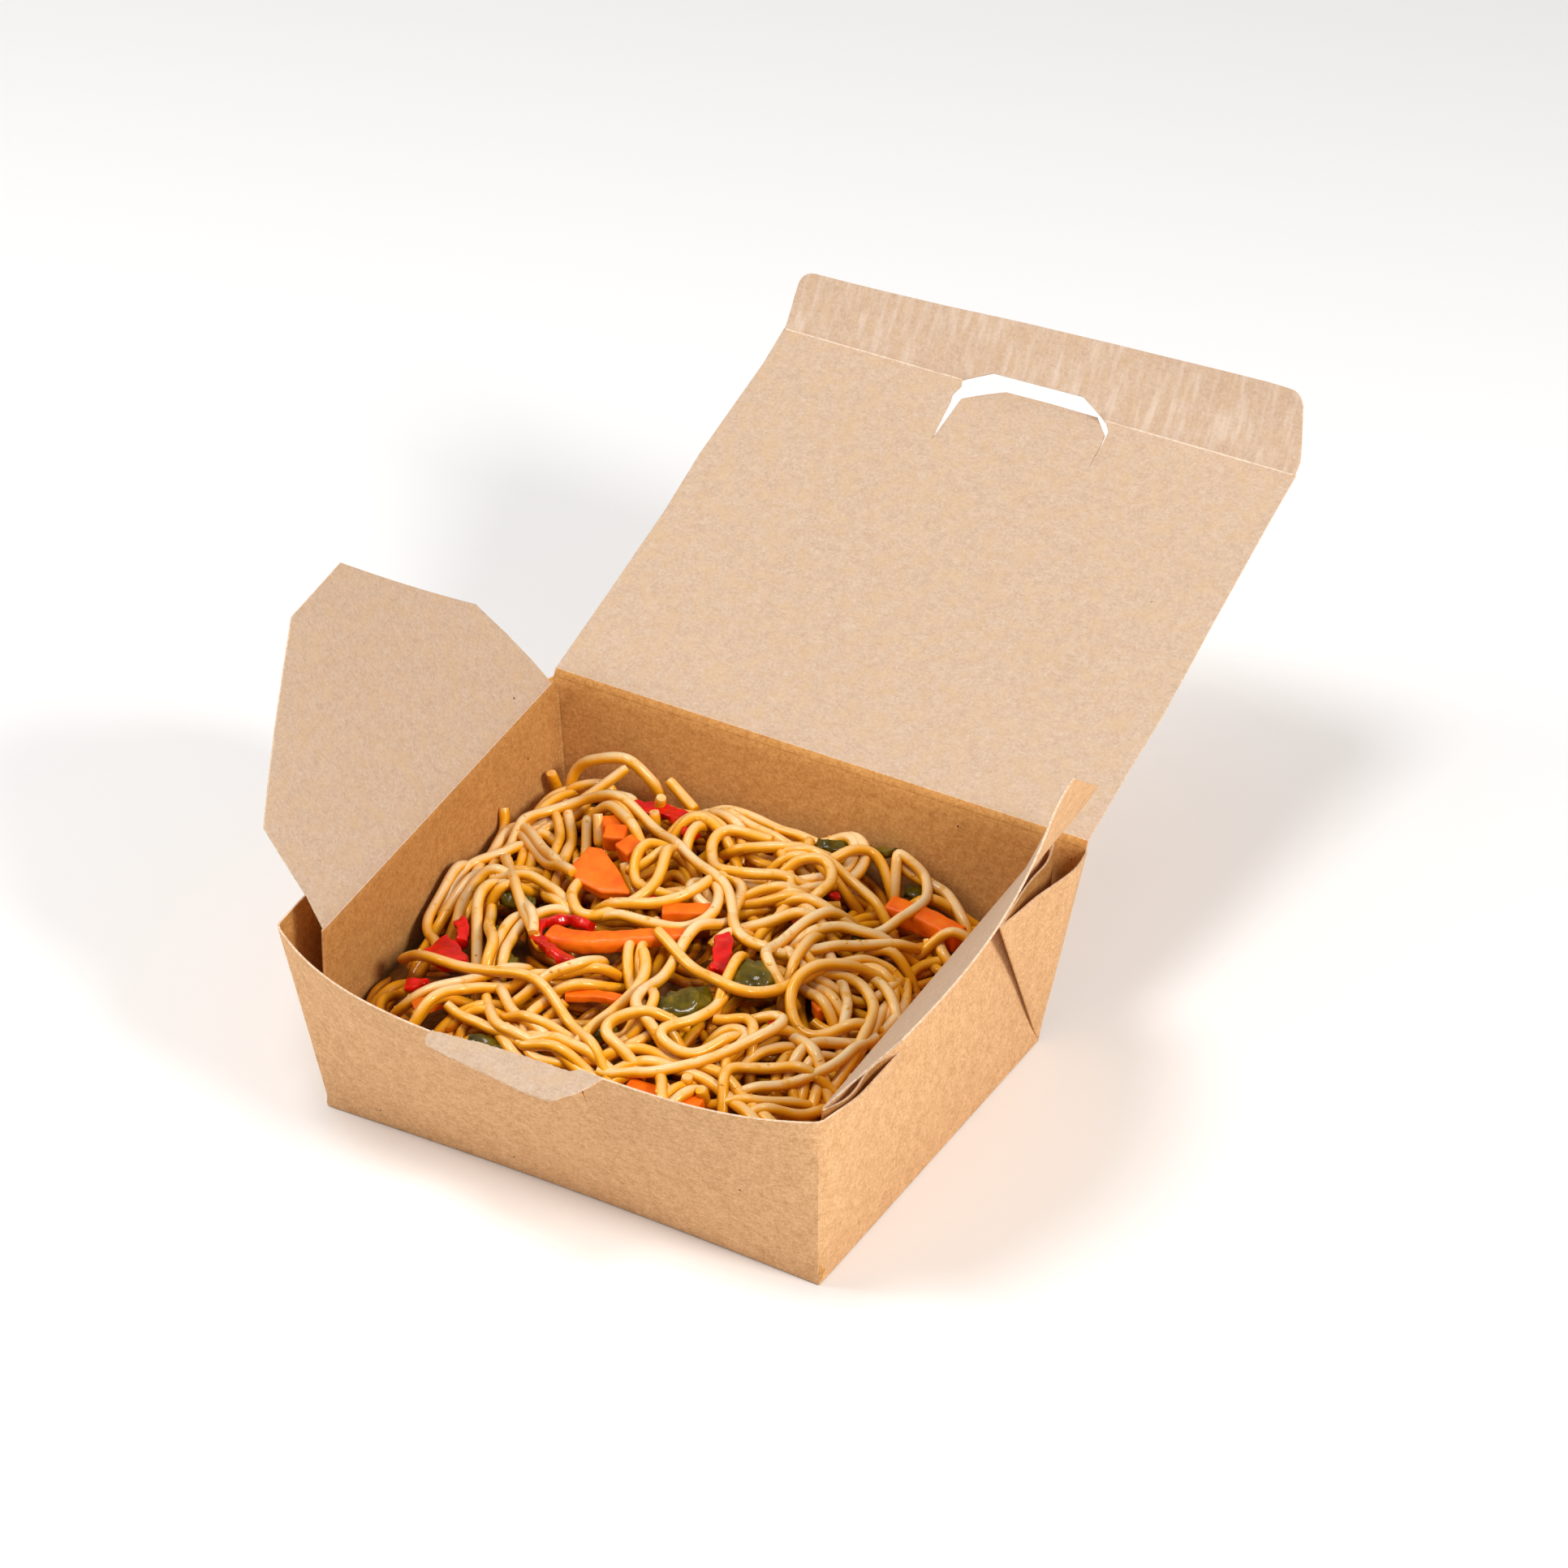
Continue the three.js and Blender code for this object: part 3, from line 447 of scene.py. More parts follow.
def front_place(u, v):
    """The front wall bulges, and more on the left of the slit than on its right."""
    foot = floor_place(u, np.zeros_like(u))
    rim = mix(RIM["front_left"], RIM["front_right"], u)
    along_tab = np.clip((rim[..., 0] - TAB_FROM) / (TAB_TO - TAB_FROM), 0, 1)
    past_slit = 0.6 * along_tab + 0.4 * soft_step((rim[..., 0] - SLIT_X + 1) / 3)
    bulge = part_way(*FRONT_BULGES, past_slit) * (1 - np.abs(2 * u - 1) ** 4)
    lean = foot[..., 1] - rim[..., 1] + bulge
    slant = math.hypot(HEIGHT, FRONT_OVERHANG)
    return np.stack([part_way(foot[..., 0], rim[..., 0], v), foot[..., 1] - v * lean,
                     BASE_Z + v * np.sqrt(slant ** 2 - lean ** 2)], -1)


def back_place(u, v):
    return mix(floor_place(u, np.ones_like(u)), mix(RIM["back_left"], RIM["back_right"], u), v)


def side_place(side):
    bulge = -SIDE_BULGE if side == "left" else SIDE_BULGE

    def place(u, v):
        foot = mix(FOOT[f"front_{side}"], FOOT[f"back_{side}"], u)
        spot = mix(foot, mix(CREASE[f"front_{side}"], CREASE[f"back_{side}"], u), v)
        spot[..., 0] += bulge * arch(u) * arch(v)
        return spot
    return place

# %% The strips that wrap round the corners
WALL_HALF, RIM_HALF, WEB_WIDTH, CORNER_ROUND = 80.0, 82.5, 42.0, 1.5
LEFT_BOW = (0, -0.9, -1.5, -1.5, -0.8, 0)
WEB_BOW = {"front_left": LEFT_BOW, "front_right": (0, 0.9, 1.8, 1.2, 0.6, 0),
           "back_left": LEFT_BOW, "back_right": (0, 2.3, 1.6, 0.4, 0.5, 0)}


def softened_curves(curves, count=41):
    """For each corner, a function from 0 to 1 that runs through even values without a kink."""
    at = np.linspace(0, 1, count)

    def softened_curve(values):
        fine = np.interp(at, np.linspace(0, 1, len(values)), values)
        for _ in range(12):
            fine[1:-1] = (fine[:-2] + 2 * fine[1:-1] + fine[2:]) / 4
        return lambda t: np.interp(np.clip(t, 0, 1), at, fine)
    return {corner: softened_curve(values) for corner, values in curves.items()}


web_bow = softened_curves(WEB_BOW)


def web_place(corner, t, v, top):
    """A web's outer layer, from its wall (t = 0) to its diagonal fold (t = 1)."""
    spot = mix(FOOT[corner], mix(top, TIP[corner], t), v)
    spot[..., 0] += web_bow[corner](t) * v
    return spot


def wrap_place(end, wall):
    """The front or back wall with a web's outer layer at each end, as one strip."""
    def sharp_place(x, y):
        v = np.clip(y / HEIGHT, 0.0, 1.02)
        spot = wall(np.clip((x + WALL_HALF) / (2 * WALL_HALF), 0, 1), v)
        for corner, u, past in ((f"{end}_left", 0.0, -x - WALL_HALF), (f"{end}_right", 1.0, x - WALL_HALF)):
            top = wall(np.array([u]), np.array([1.0]))[0]
            t = past / (WEB_WIDTH * np.maximum(v, 0.01))
            spot = np.where((past > 0)[:, None], web_place(corner, t, v, top), spot)
        return spot

    def place(x, y):
        """As sharp_place, with each corner replaced by a parabola between two near points."""
        spot = sharp_place(x, y)
        for side in (-1, 1):
            reach = np.minimum(CORNER_ROUND, 0.3 * WEB_WIDTH * np.clip(y / HEIGHT, 0.01, 1))
            edge = np.full_like(x, side * WALL_HALF)
            t = np.clip((x - edge + reach) / (2 * reach), 0, 1)[:, None]
            a, b, c = (sharp_place(edge + k * reach, y) for k in (-1, 0, 1))
            bend = (1 - t) ** 2 * a + 2 * t * (1 - t) * b + t ** 2 * c
            spot = np.where((np.abs(x - edge) < reach)[:, None], bend, spot)
        return spot
    return place


def wrap_outline(rim):
    """A wall with its two webs in the flat, and its rim from right to left."""
    low = 0.9
    toe = WALL_HALF + WEB_WIDTH * low / HEIGHT
    return [*edges("fold", (-WALL_HALF - WEB_WIDTH, HEIGHT), (-toe, low), (-WALL_HALF, low),
                   (-WALL_HALF, 0), (WALL_HALF, 0), (WALL_HALF, low), (toe, low)),
            *edges("cut", (WALL_HALF + WEB_WIDTH, HEIGHT)), *rim, *edges("cut", (-WALL_HALF, HEIGHT))]


slit = SLIT_X / RIM_HALF * WALL_HALF
front_rim = [
    *edges("cut", (WALL_HALF, HEIGHT), (slit + 0.45, HEIGHT), (slit + 0.16, HEIGHT - SLIT_DEPTH * 0.5),
           (slit + 0.05, HEIGHT - SLIT_DEPTH), (slit - 0.35, HEIGHT - SLIT_DEPTH * 0.45)),
    *edges("torn", (slit - 0.55, HEIGHT)), *edges("cut", (TAB_FROM / RIM_HALF * WALL_HALF, HEIGHT))]
back_rim = edges("fold", (WALL_HALF, HEIGHT))

# Inner faces of walls, webs and floor take the shaded copy of the inside board: painted shade and bounced
# light within the tray.
shaded_inside_finishes = (board_inside_shaded, board_outside, board_edge)
tray_pieces = [
    bent_sheet("front_wall", wrap_outline(front_rim), wrap_place("front", front_place), 2.6,
               inner_up=False, finishes=shaded_inside_finishes),
    bent_sheet("back_wall", wrap_outline(back_rim), wrap_place("back", back_place), finishes=shaded_inside_finishes),
]

# %% [markdown]
# The inner layer of each web is folded back from the diagonal to the side wall's end. On the right
# the two layers have sprung apart, so the inner one waves. The side walls and the floor complete the
# tray. They belong to one body in the solid model, so their pieces all ride on it.

# %% Side walls, inner web layers and floor
LEFT_WAVE = (0, -0.5, -0.3, 0.3, 0.4, 0)
INNER_WAVE = {"front_left": LEFT_WAVE, "front_right": (0, 1.9, 1.0, -1.2, -1.9, 0),
              "back_left": LEFT_WAVE, "back_right": (1.4, 2.7, 1.0, 0.4, 0.3, 0)}
inner_wave = softened_curves(INNER_WAVE)
SIDE_LENGTH, FLOOR_WIDTH, FLOOR_DEPTH = 120, 150, 120


def inner_web_place(corner):
    def place(x, y):
        v = np.clip(y / HEIGHT, 0.01, 1.0)
        t = np.clip(x / (WEB_WIDTH * v), -0.02, 1.02)
        spot = mix(FOOT[corner], mix(CREASE[corner], TIP[corner], t), v)
        spot[..., 0] += v * inner_wave[corner](t)
        return spot
    return place


for corner in FOOT:
    low = 1.2
    outline = [*edges("fold", (0, low), (WEB_WIDTH * low / HEIGHT, low)),
               *edges("cut", (WEB_WIDTH, HEIGHT)), *edges("fold", (0, HEIGHT))]
    tray_pieces.append(bent_sheet(
        f"{corner}_web_fold", outline, inner_web_place(corner), 2.6,
        inner_up=corner in ("front_right", "back_left"), finishes=shaded_inside_finishes, ripple=0))

for side in ("left", "right"):
    tray_pieces.append(bent_sheet(
        f"{side}_wall", all_folded(SIDE_LENGTH, HEIGHT),
        lambda x, y, place=side_place(side): place(x / SIDE_LENGTH, y / HEIGHT),
        inner_up=side == "left", finishes=shaded_inside_finishes))
tray_pieces.append(bent_sheet(
    "floor_panel", all_folded(FLOOR_WIDTH, FLOOR_DEPTH),
    lambda x, y: floor_place(x / FLOOR_WIDTH, y / FLOOR_DEPTH), 6.0, finishes=shaded_inside_finishes, ripple=0))
for piece in tray_pieces:
    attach(piece, "tray")
    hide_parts("tray")
print("tray pieces:", len(tray_pieces), "faces:", sum(len(p.data.polygons) for p in tray_pieces))

# %% [markdown]
# ## Panels on folds
# The lid, its tuck flap, the dust flaps and the front tab each turn about a fold. A fold gives a
# panel its own two directions, along the fold and up the panel, and one helper turns flat points in
# them into places in the box.

# %% A panel's own directions
def unit(vector):
    return vector / np.linalg.norm(vector)


def turned(vector, axis, degrees):
    angle = math.radians(degrees)
    return (vector * math.cos(angle) + np.cross(axis, vector) * math.sin(angle)
            + axis * axis.dot(vector) * (1 - math.cos(angle)))


class Fold:
    """A fold line, by its start, its direction and its length, with the way up its panel."""

    def __init__(self, origin, along, up, length):
        self.origin, self.along, self.up, self.length = origin, along, up, length
        self.normal = np.cross(along, up)

    def shifted(self, along, up, turn=0.0):
        """A parallel fold further along and up this one's panel, with its own panel turned back."""
        return Fold(self.origin + self.along * along + self.up * up, self.along,
                    turned(self.up, self.along, turn), self.length)

    def place(self, x, y, off=0.0):
        off = np.broadcast_to(off, np.shape(x))
        return self.origin + x[:, None] * self.along + y[:, None] * self.up + off[:, None] * self.normal


def fold_between(start, end, outward, lean, lift=0.0):
    """A fold from one point to another, whose panel leans outward from upright by some degrees."""
    start, end = start + np.array((0, 0, lift)), end + np.array((0, 0, lift))
    along = unit(end - start)
    out = np.array(outward, float)
    out = unit(out - along * out.dot(along))
    upright = unit(np.array((0, 0, 1.0)) - along * along[2])
    out = unit(out - upright * out.dot(upright))
    up = upright * math.cos(math.radians(lean)) + out * math.sin(math.radians(lean))
    return Fold(start, along, up, float(np.linalg.norm(end - start)))


FOLD_LIFT = 0.3

# %% [markdown]
# ### Lid and crease strip
# The lid's back fold is a double score, which leaves a narrow strip between the tray and the lid. The
# lid has a tongue cut into its front edge, still joined at the tongue's root and bent back a little.
# The gap above it reaches past the fold into the tuck flap.

# %% Crease strip and lid
STRIP_WIDTH, STRIP_LEAN, LID_LEAN = 2.0, 29.9, 67.9
LID_LEFT, LID_RIGHT, HINGE_HALF, FRONT_HALF = 132.0, 131.0, 84.6, 83.2
TONGUE_LEFT, TONGUE_RIGHT, TONGUE_BEND = (-21.5, 108.8), (26.5, 113.2), 2.0
strip_fold = fold_between(RIM["back_left"], RIM["back_right"], (0, 1, 0), STRIP_LEAN, FOLD_LIFT)
strip_fold = strip_fold.shifted(strip_fold.length / 2, 0)
lid_fold = strip_fold.shifted(0, STRIP_WIDTH, STRIP_LEAN - LID_LEAN)


def lid_front(x):
    return LID_LEFT + (LID_RIGHT - LID_LEFT) * (x / FRONT_HALF + 1) / 2


def lid_place(x, y):
    """The lid sags a little, and its tongue is bent back from a slanting root."""
    sag = 1.3 * arch(y / 132) * np.cos(x / 84 * 1.2)
    past_root = y - np.interp(x, *zip(TONGUE_LEFT, TONGUE_RIGHT))
    right_slit = (x < 26.4 - 0.025 * (y - 113)) & (y < 127.5 + 1.05 * (25.1 - x))
    on_tongue = (past_root > 0) & (x > -21.45 - 0.02 * (y - 108.8)) & right_slit
    back = past_root * math.tan(math.radians(TONGUE_BEND)) + 0.014 * np.clip(y - 122, 0, None) ** 2
    return lid_fold.place(x, y, -sag * 0.5 - np.where(on_tongue, back, 0))


# The strip's inner face takes the shaded inside finish: painted shade for a strip that stands in shadow.
strip = bent_sheet("lid_crease_strip", [
    *edges("fold", (-HINGE_HALF, 0)), *edges("cut", (HINGE_HALF, 0)),
    *edges("fold", (HINGE_HALF, STRIP_WIDTH)), *edges("cut", (-HINGE_HALF, STRIP_WIDTH))],
    strip_fold.place, 2.0, finishes=shaded_inside_finishes, ripple=0)
right_side = [(HINGE_HALF, 0), (84.5, 24), (84.9, 45), (84.0, 75), (83.3, 112)]
tongue_cut = [
    (23.4, lid_front(23.4)), (26.0, 128.0), (26.4, 122.9), (26.45, 118.8), (26.55, 113.3),
    (26.1, 118.8), (25.9, 122.9), (25.1, 127.1), (19.3, 133.4), (4.2, 133.7), (-10.3, 133.3),
    (-17.8, 127.9), (-20.6, 125.8), (-20.9, 119.0), (-21.5, 108.9), (-22.0, 113.5), (-22.5, 119.0),
    (-22.8, 123.2), (-23.5, 126.0), (-22.5, 129.6)]
left_side = [(-FRONT_HALF, LID_LEFT), (-82.7, 118), (-83.4, 100), (-84.0, 82), (-83.3, 60), (-83.8, 33)]
lid = bent_sheet("lid_panel", [
    *edges("fold", (-HINGE_HALF, 0)), *edges("cut", *right_side),
    *edges("fold", (FRONT_HALF, LID_RIGHT)), *edges("cut", *tongue_cut),
    *edges("fold", (-23.5, lid_front(-23.5))), *edges("cut", *left_side)], lid_place)

# %% Tuck flap
TUCK_BEND = 27.0
tuck_along = unit(lid_fold.along * 2 * FRONT_HALF + lid_fold.up * (LID_RIGHT - LID_LEFT))
tuck_up = unit(lid_fold.up - tuck_along * lid_fold.up.dot(tuck_along))
tuck_fold = Fold(lid_fold.origin + lid_fold.up * lid_front(0), tuck_along,
                 turned(tuck_up, tuck_along, TUCK_BEND), 2 * FRONT_HALF)


def arc(x, y, radius, start, end, count=6):
    """A round corner as points."""
    angles = [math.radians(start + (end - start) * k / count) for k in range(count + 1)]
    return [(x + radius * math.cos(a), y + radius * math.sin(a)) for a in angles]


def tuck_place(x, y):
    curl = 0.010 * y ** 2 * (0.4 + 0.6 * (x / 82) ** 2) - 0.35 * np.sin(x / 13) * (y / 19)
    return tuck_fold.place(x, y, curl)


notch = [(-23.3, 0), (-14.6, 4.3), (14.4, 4.9)]
tuck_edge = [(82.9, 0), (83.2, 4), (82.0, 9.2), *arc(75.0, 17.3, 5.0, 5, 88), (67.7, 22.5),
             (47.4, 22.2), (19, 21.6), (-9.1, 20.5), (-35.3, 19.1), (-62.1, 18.1),
             *arc(-78.3, 13.2, 4.4, 95, 180), (-83, 10.3)]
tuck = bent_sheet("tuck_flap_panel", [
    *edges("fold", (-83, 0)), *edges("cut", *notch), *edges("fold", (23.2, 0)),
    *edges("cut", *tuck_edge)], tuck_place, 2.4,
    finishes=(board_tuck, board_outside, board_edge, board_score))


def tube_faces(rings, sides):
    """Faces of a tube whose points come ring by ring, with both ends closed."""
    here = np.arange(rings * sides).reshape(rings, sides)
    after = np.roll(here, -1, 1)
    quads = np.stack([here[:-1], here[1:], after[1:], after[:-1]], -1).reshape(-1, 4)
    return [*quads.tolist(), here[0].tolist(), here[-1, ::-1].tolist()]


def score_ridge(name, fold, start, end, radius=0.48, rings=24, sides=8):
    """The low pale bead that a score raises along a fold."""
    angles = [k * math.tau / sides for k in range(sides)]
    ways = [fold.up * math.cos(angle) + fold.normal * math.sin(angle) for angle in angles]
    points = []
    for x in np.linspace(start, end, rings):
        spot = fold.origin + fold.along * x
        points += [spot + radius * (0.85 + 0.3 * noise.noise(Vector(spot))) * way for way in ways]
    faces_outward = [face[:1] + face[:0:-1] for face in tube_faces(rings, sides)]
    return new_piece(name, points, faces_outward, [board_score])


ridges = [score_ridge("lid_score_left", tuck_fold, -82.6, -23.4),
          score_ridge("lid_score_right", tuck_fold, 23.3, 82.4)]
for piece, body in ((strip, "lid_crease"), (lid, "lid"), (tuck, "tuck_flap"),
                    (ridges[0], "lid"), (ridges[1], "lid")):
    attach(piece, body)
    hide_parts(body)

# %% [markdown]
# ### Dust flaps and front tab
# The dust flaps are hinged on the side walls and fold in under the lid. The left one is nearly flat.
# The right one twists: it leans out further at the front than at the back, and curls upright there.
# The front tab is torn out of the front wall's rim along a row of perforations, so its root is ragged.

# %% Dust flaps
LEFT_LEAN, RIGHT_LEAN = 39.5, 34.0
RIGHT_START, RIGHT_START_FALL, RIGHT_CURL = 4.7, 2.0, 0.345
left_fold = fold_between(CREASE["front_left"], CREASE["back_left"], (-1, 0, 0), LEFT_LEAN, FOLD_LIFT)
right_fold = fold_between(CREASE["front_right"], CREASE["back_right"], (1, 0, 0), RIGHT_LEAN, FOLD_LIFT)


def left_flap_place(x, y):
    return left_fold.place(x, y, 0.0011 * y ** 2 * np.sin(np.pi * x / 130) - 0.6 * np.sin(y / 66 * np.pi))


def right_flap_place(x, y):
    """Each line up the flap is an arc, which bends more the further back it stands."""
    start = np.radians(RIGHT_START - RIGHT_START_FALL * (x / 124) ** 2)
    bend = np.radians(RIGHT_CURL * soft_step((x - 9) / 72)) + 1e-6
    return right_fold.place(x, (np.sin(start) - np.sin(start - bend * y)) / bend,
                            (np.cos(start - bend * y) - np.cos(start)) / bend)


def flap_outline(crown_start):
    return [*edges("fold", (0.6, 0)),
            *edges("cut", (128.6, 0), (128.2, 8), (126.6, 19), (123.8, 31), crown_start,
                   (57.6, 65.4), (6.6, 30), (3.4, 9), (1.2, 2))]


left_flap = bent_sheet("left_dust_flap", flap_outline((85.6, 66.6)), left_flap_place)
right_flap = bent_sheet("right_dust_flap", flap_outline((80.5, 66.2)), right_flap_place, inner_up=False)

# %% Front tab
TAB_LEAN, TAB_LIFT = 104.0, 0.2


def rim_at(x):
    u = (np.asarray(x, float) - RIM["front_left"][0]) / (RIM["front_right"][0] - RIM["front_left"][0])
    return front_place(u, np.ones_like(u)) + np.array((0, 0, TAB_LIFT))


tab_fold = fold_between(*rim_at([TAB_FROM, TAB_TO]), (0, -1, 0), TAB_LEAN)


def tab_place(x, y):
    root = rim_at(TAB_FROM + x * (TAB_TO - TAB_FROM) / tab_fold.length)
    return root + y[:, None] * tab_fold.up


front_tab = bent_sheet("front_tab_panel", [
    *edges("torn", (-0.4, -0.3), (14, -1.0), (28, -0.9)),
    *edges("cut", (40.8, -0.2), (48.8, 0.3), (46.8, 4.0), (45.3, 6.0), (43.7, 8.0), (41.6, 9.3),
           (37.5, 9.9), (30.1, 9.3), (21.1, 7.7), (11.3, 6.3), (3.0, 5.0), (0.2, 4.3),
           (-0.8, 3.0), (-1.0, 1.4))],
    tab_place, 1.8, inner_up=False, ripple=0.05)

for piece, body in ((left_flap, "flap_left"), (right_flap, "flap_right"), (front_tab, "front_tab")):
    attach(piece, body)
    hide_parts(body)
print("folding panels made")

# %% [markdown]
# ## Noodles
# Boiled noodles are soft round strands that sag over whatever lies under them. Modelling each one by
# hand in three directions would be slow, and a physics run would need thousands of joined balls.
# Here every noodle is first drawn from above. It is then let down on the pile as a stiff rope: each
# point rests on the highest thing beneath it, and what lies between two rests sags. A height map
# keeps what has been laid so far, so each noodle really lies on the ones before it.

# %% The heap's surface and the room for it
NOODLE = 1.55
ROOM_LEVEL = 0.45


def heap(x, y):
    """How high the food stands at a place: a mound, higher at the back, with two small waves on it."""
    x, y = np.asarray(x, float), np.asarray(y, float)
    return (30 + 14.5 * (1 - np.abs(x / 82) ** 2.4) * (1 - np.abs(y / 68) ** 2.4)
            + 6 * np.exp(-(x / 45) ** 2 - ((y - 62) / 25) ** 2)
            + 1.1 * np.sin(x / 9 + 1) * np.sin(y / 8 + 2) + 0.8 * np.sin(x / 17 - y / 13))


room_corners = [mix(FOOT[corner], CREASE[corner], ROOM_LEVEL)[:2]
                for corner in ("front_left", "front_right", "back_right", "back_left")]
room_sides = []
for a, b in zip(room_corners, room_corners[1:] + room_corners[:1]):
    way = unit(b - a)
    room_sides.append((a, np.array((-way[1], way[0]))))


def kept_inside(path, margin=NOODLE + 0.3):
    """The path with every point that is too near a wall pushed back from it."""
    path = np.array(path, float)
    for corner, inward in room_sides:
        short = margin - (path[:, :2] - corner) @ inward
        path[:, :2] += np.clip(short, 0, None)[:, None] * inward
    return path


def softened(values, spread):
    """Values along a line, each blended with its neighbours within a spread."""
    reach = int(spread * 3)
    bell = np.exp(-0.5 * (np.arange(-reach, reach + 1) / spread) ** 2)
    if values.ndim == 1:
        longer = np.pad(values, reach, mode="reflect", reflect_type="odd")
        return np.convolve(longer, bell / bell.sum(), "valid")
    return np.stack([softened(part, spread) for part in values.T], 1)

# %% The pile that noodles are let down on
CELL, COLUMNS, ROWS, MARGIN = 0.5, 344, 298, 8
LOW_X, LOW_Y = -86.0, -74.0
column, row = np.meshgrid(LOW_X + CELL * np.arange(COLUMNS), LOW_Y + CELL * np.arange(ROWS))


class Pile:
    """The heights of what lies in the tray so far, in half-millimetre cells."""

    def __init__(self, ground):
        self.top = ground.copy()

    def cells(self, x, y):
        return (np.clip(np.rint((y - LOW_Y) / CELL).astype(int), MARGIN, ROWS - MARGIN - 1),
                np.clip(np.rint((x - LOW_X) / CELL).astype(int), MARGIN, COLUMNS - MARGIN - 1))

    def under(self, path, radius):
        """The cells that a ball covers at each point of a path, and its bulge over each of them."""
        reach = int(radius / CELL)
        dy, dx = np.mgrid[-reach:reach + 1, -reach:reach + 1]
        gap = (dx ** 2 + dy ** 2) * CELL ** 2
        inside = gap < radius ** 2
        i, j = self.cells(path[:, 0], path[:, 1])
        return (i[:, None] + dy[inside], j[:, None] + dx[inside]), np.sqrt(radius ** 2 - gap[inside])

    def rest(self, path, radius, sink=0.7, spread=6.0, rounds=40):
        """Heights at which a stiff rope along a flat path comes to rest on the pile."""
        where, bulge = self.under(path, radius)
        ground = (self.top[where] + bulge).max(1) - sink
        pull = np.array([ground[max(0, k - 5):k + 6].max() for k in range(len(ground))])
        for _ in range(rounds):
            gap = softened(pull, spread) - ground
            pull = pull - np.where(gap < 0, 0.8 * gap, np.minimum(0.12, 0.3 * gap))
        return softened(pull, spread)

    def add_rope(self, path, radius):
        where, bulge = self.under(path, radius)
        np.maximum.at(self.top, where, path[:, 2:3] + bulge)

    def add_points(self, points):
        i, j = self.cells(points[:, 0], points[:, 1])
        for di in (-1, 0, 1):
            for dj in (-1, 0, 1):
                np.maximum.at(self.top, (i + di, j + dj), points[:, 2])


def resampled(line, run, at):
    """The points of a line at other distances along it than those in run."""
    return np.stack([np.interp(at, run, part) for part in line.T], 1)


def smooth_path(points, step=1.0):
    """A curve through hand-set points, as points one step apart."""
    points = [np.array(p, float) for p in points]
    points = [2 * points[0] - points[1], *points, 2 * points[-1] - points[-2]]
    line = []
    for a, b, c, d in zip(points, points[1:], points[2:], points[3:]):
        for t in np.linspace(0, 1, 12, endpoint=False):
            line.append(0.5 * (2 * b + (c - a) * t + (2 * a - 5 * b + 4 * c - d) * t ** 2
                               + (3 * b - a - 3 * c + d) * t ** 3))
    line = np.array(line + [points[-2]])
    run = np.concatenate([[0], np.cumsum(np.linalg.norm(np.diff(line, axis=0), axis=1))])
    return resampled(line, run, np.linspace(0, run[-1], max(3, round(run[-1] / step)) + 1))

# %% [markdown]
# Most noodles wander: their bend changes little by little, and near a wall they turn back. Several are
# tried for each gap, and the one that fits lowest stays. This fills the tray evenly, as shaking does.

# %% Wandering noodles
chance = random.Random(41)
FIRST_BEND, BEND_CHANGE, BEND_KEPT, MOST_BEND = 0.05, 0.011, 0.985, 0.13
WALL_REACH, WALL_TURN, PATH_SPREAD, LENGTHS = 7, 0.16, 2.6, (45, 120)


def wandering(start, length):
    """A flat path that sets out both ways from its start."""
    halves = []
    heading = chance.uniform(0, math.tau)
    for turn in (0, math.pi):
        at, facing = np.array(start, float), heading + turn
        bend = chance.gauss(0, FIRST_BEND)
        half = []
        for _ in range(int(length / 2)):
            bend = BEND_KEPT * bend + chance.gauss(0, BEND_CHANGE)
            bend = min(MOST_BEND, max(-MOST_BEND, bend))
            facing += bend
            ahead = np.array((math.cos(facing), math.sin(facing)))
            for corner, inward in room_sides:
                gap = (at - corner) @ inward - NOODLE
                if gap < WALL_REACH and ahead @ inward < 0.25:
                    facing += WALL_TURN * math.copysign(1, ahead[0] * inward[1] - ahead[1] * inward[0])
            at = at + ahead
            half.append(at)
        halves.append(half)
    return softened(kept_inside(np.array(halves[1][::-1] + [start] + halves[0])), PATH_SPREAD)


def ducked(path, start=True, end=True, depth=3.5, reach=12):
    """A laid path whose ends duck under their neighbours."""
    run = np.arange(len(path))
    path = path.copy()
    for wanted, gap in ((start, run), (end, run[::-1])):
        if wanted:
            path[:, 2] -= depth * soft_step(1 - gap / reach)
    return path


def beside(path, gap):
    """A path that runs beside another at about a noodle's width."""
    ahead = unit_rows(np.gradient(path, axis=0))
    drift = np.array([noise.noise(Vector((k / 22, gap, path[0, 0]))) for k in range(len(path))])
    moved = path + np.stack([-ahead[:, 1], ahead[:, 0]], 1) * (gap + 1.2 * drift)[:, None]
    return softened(kept_inside(moved), PATH_SPREAD)


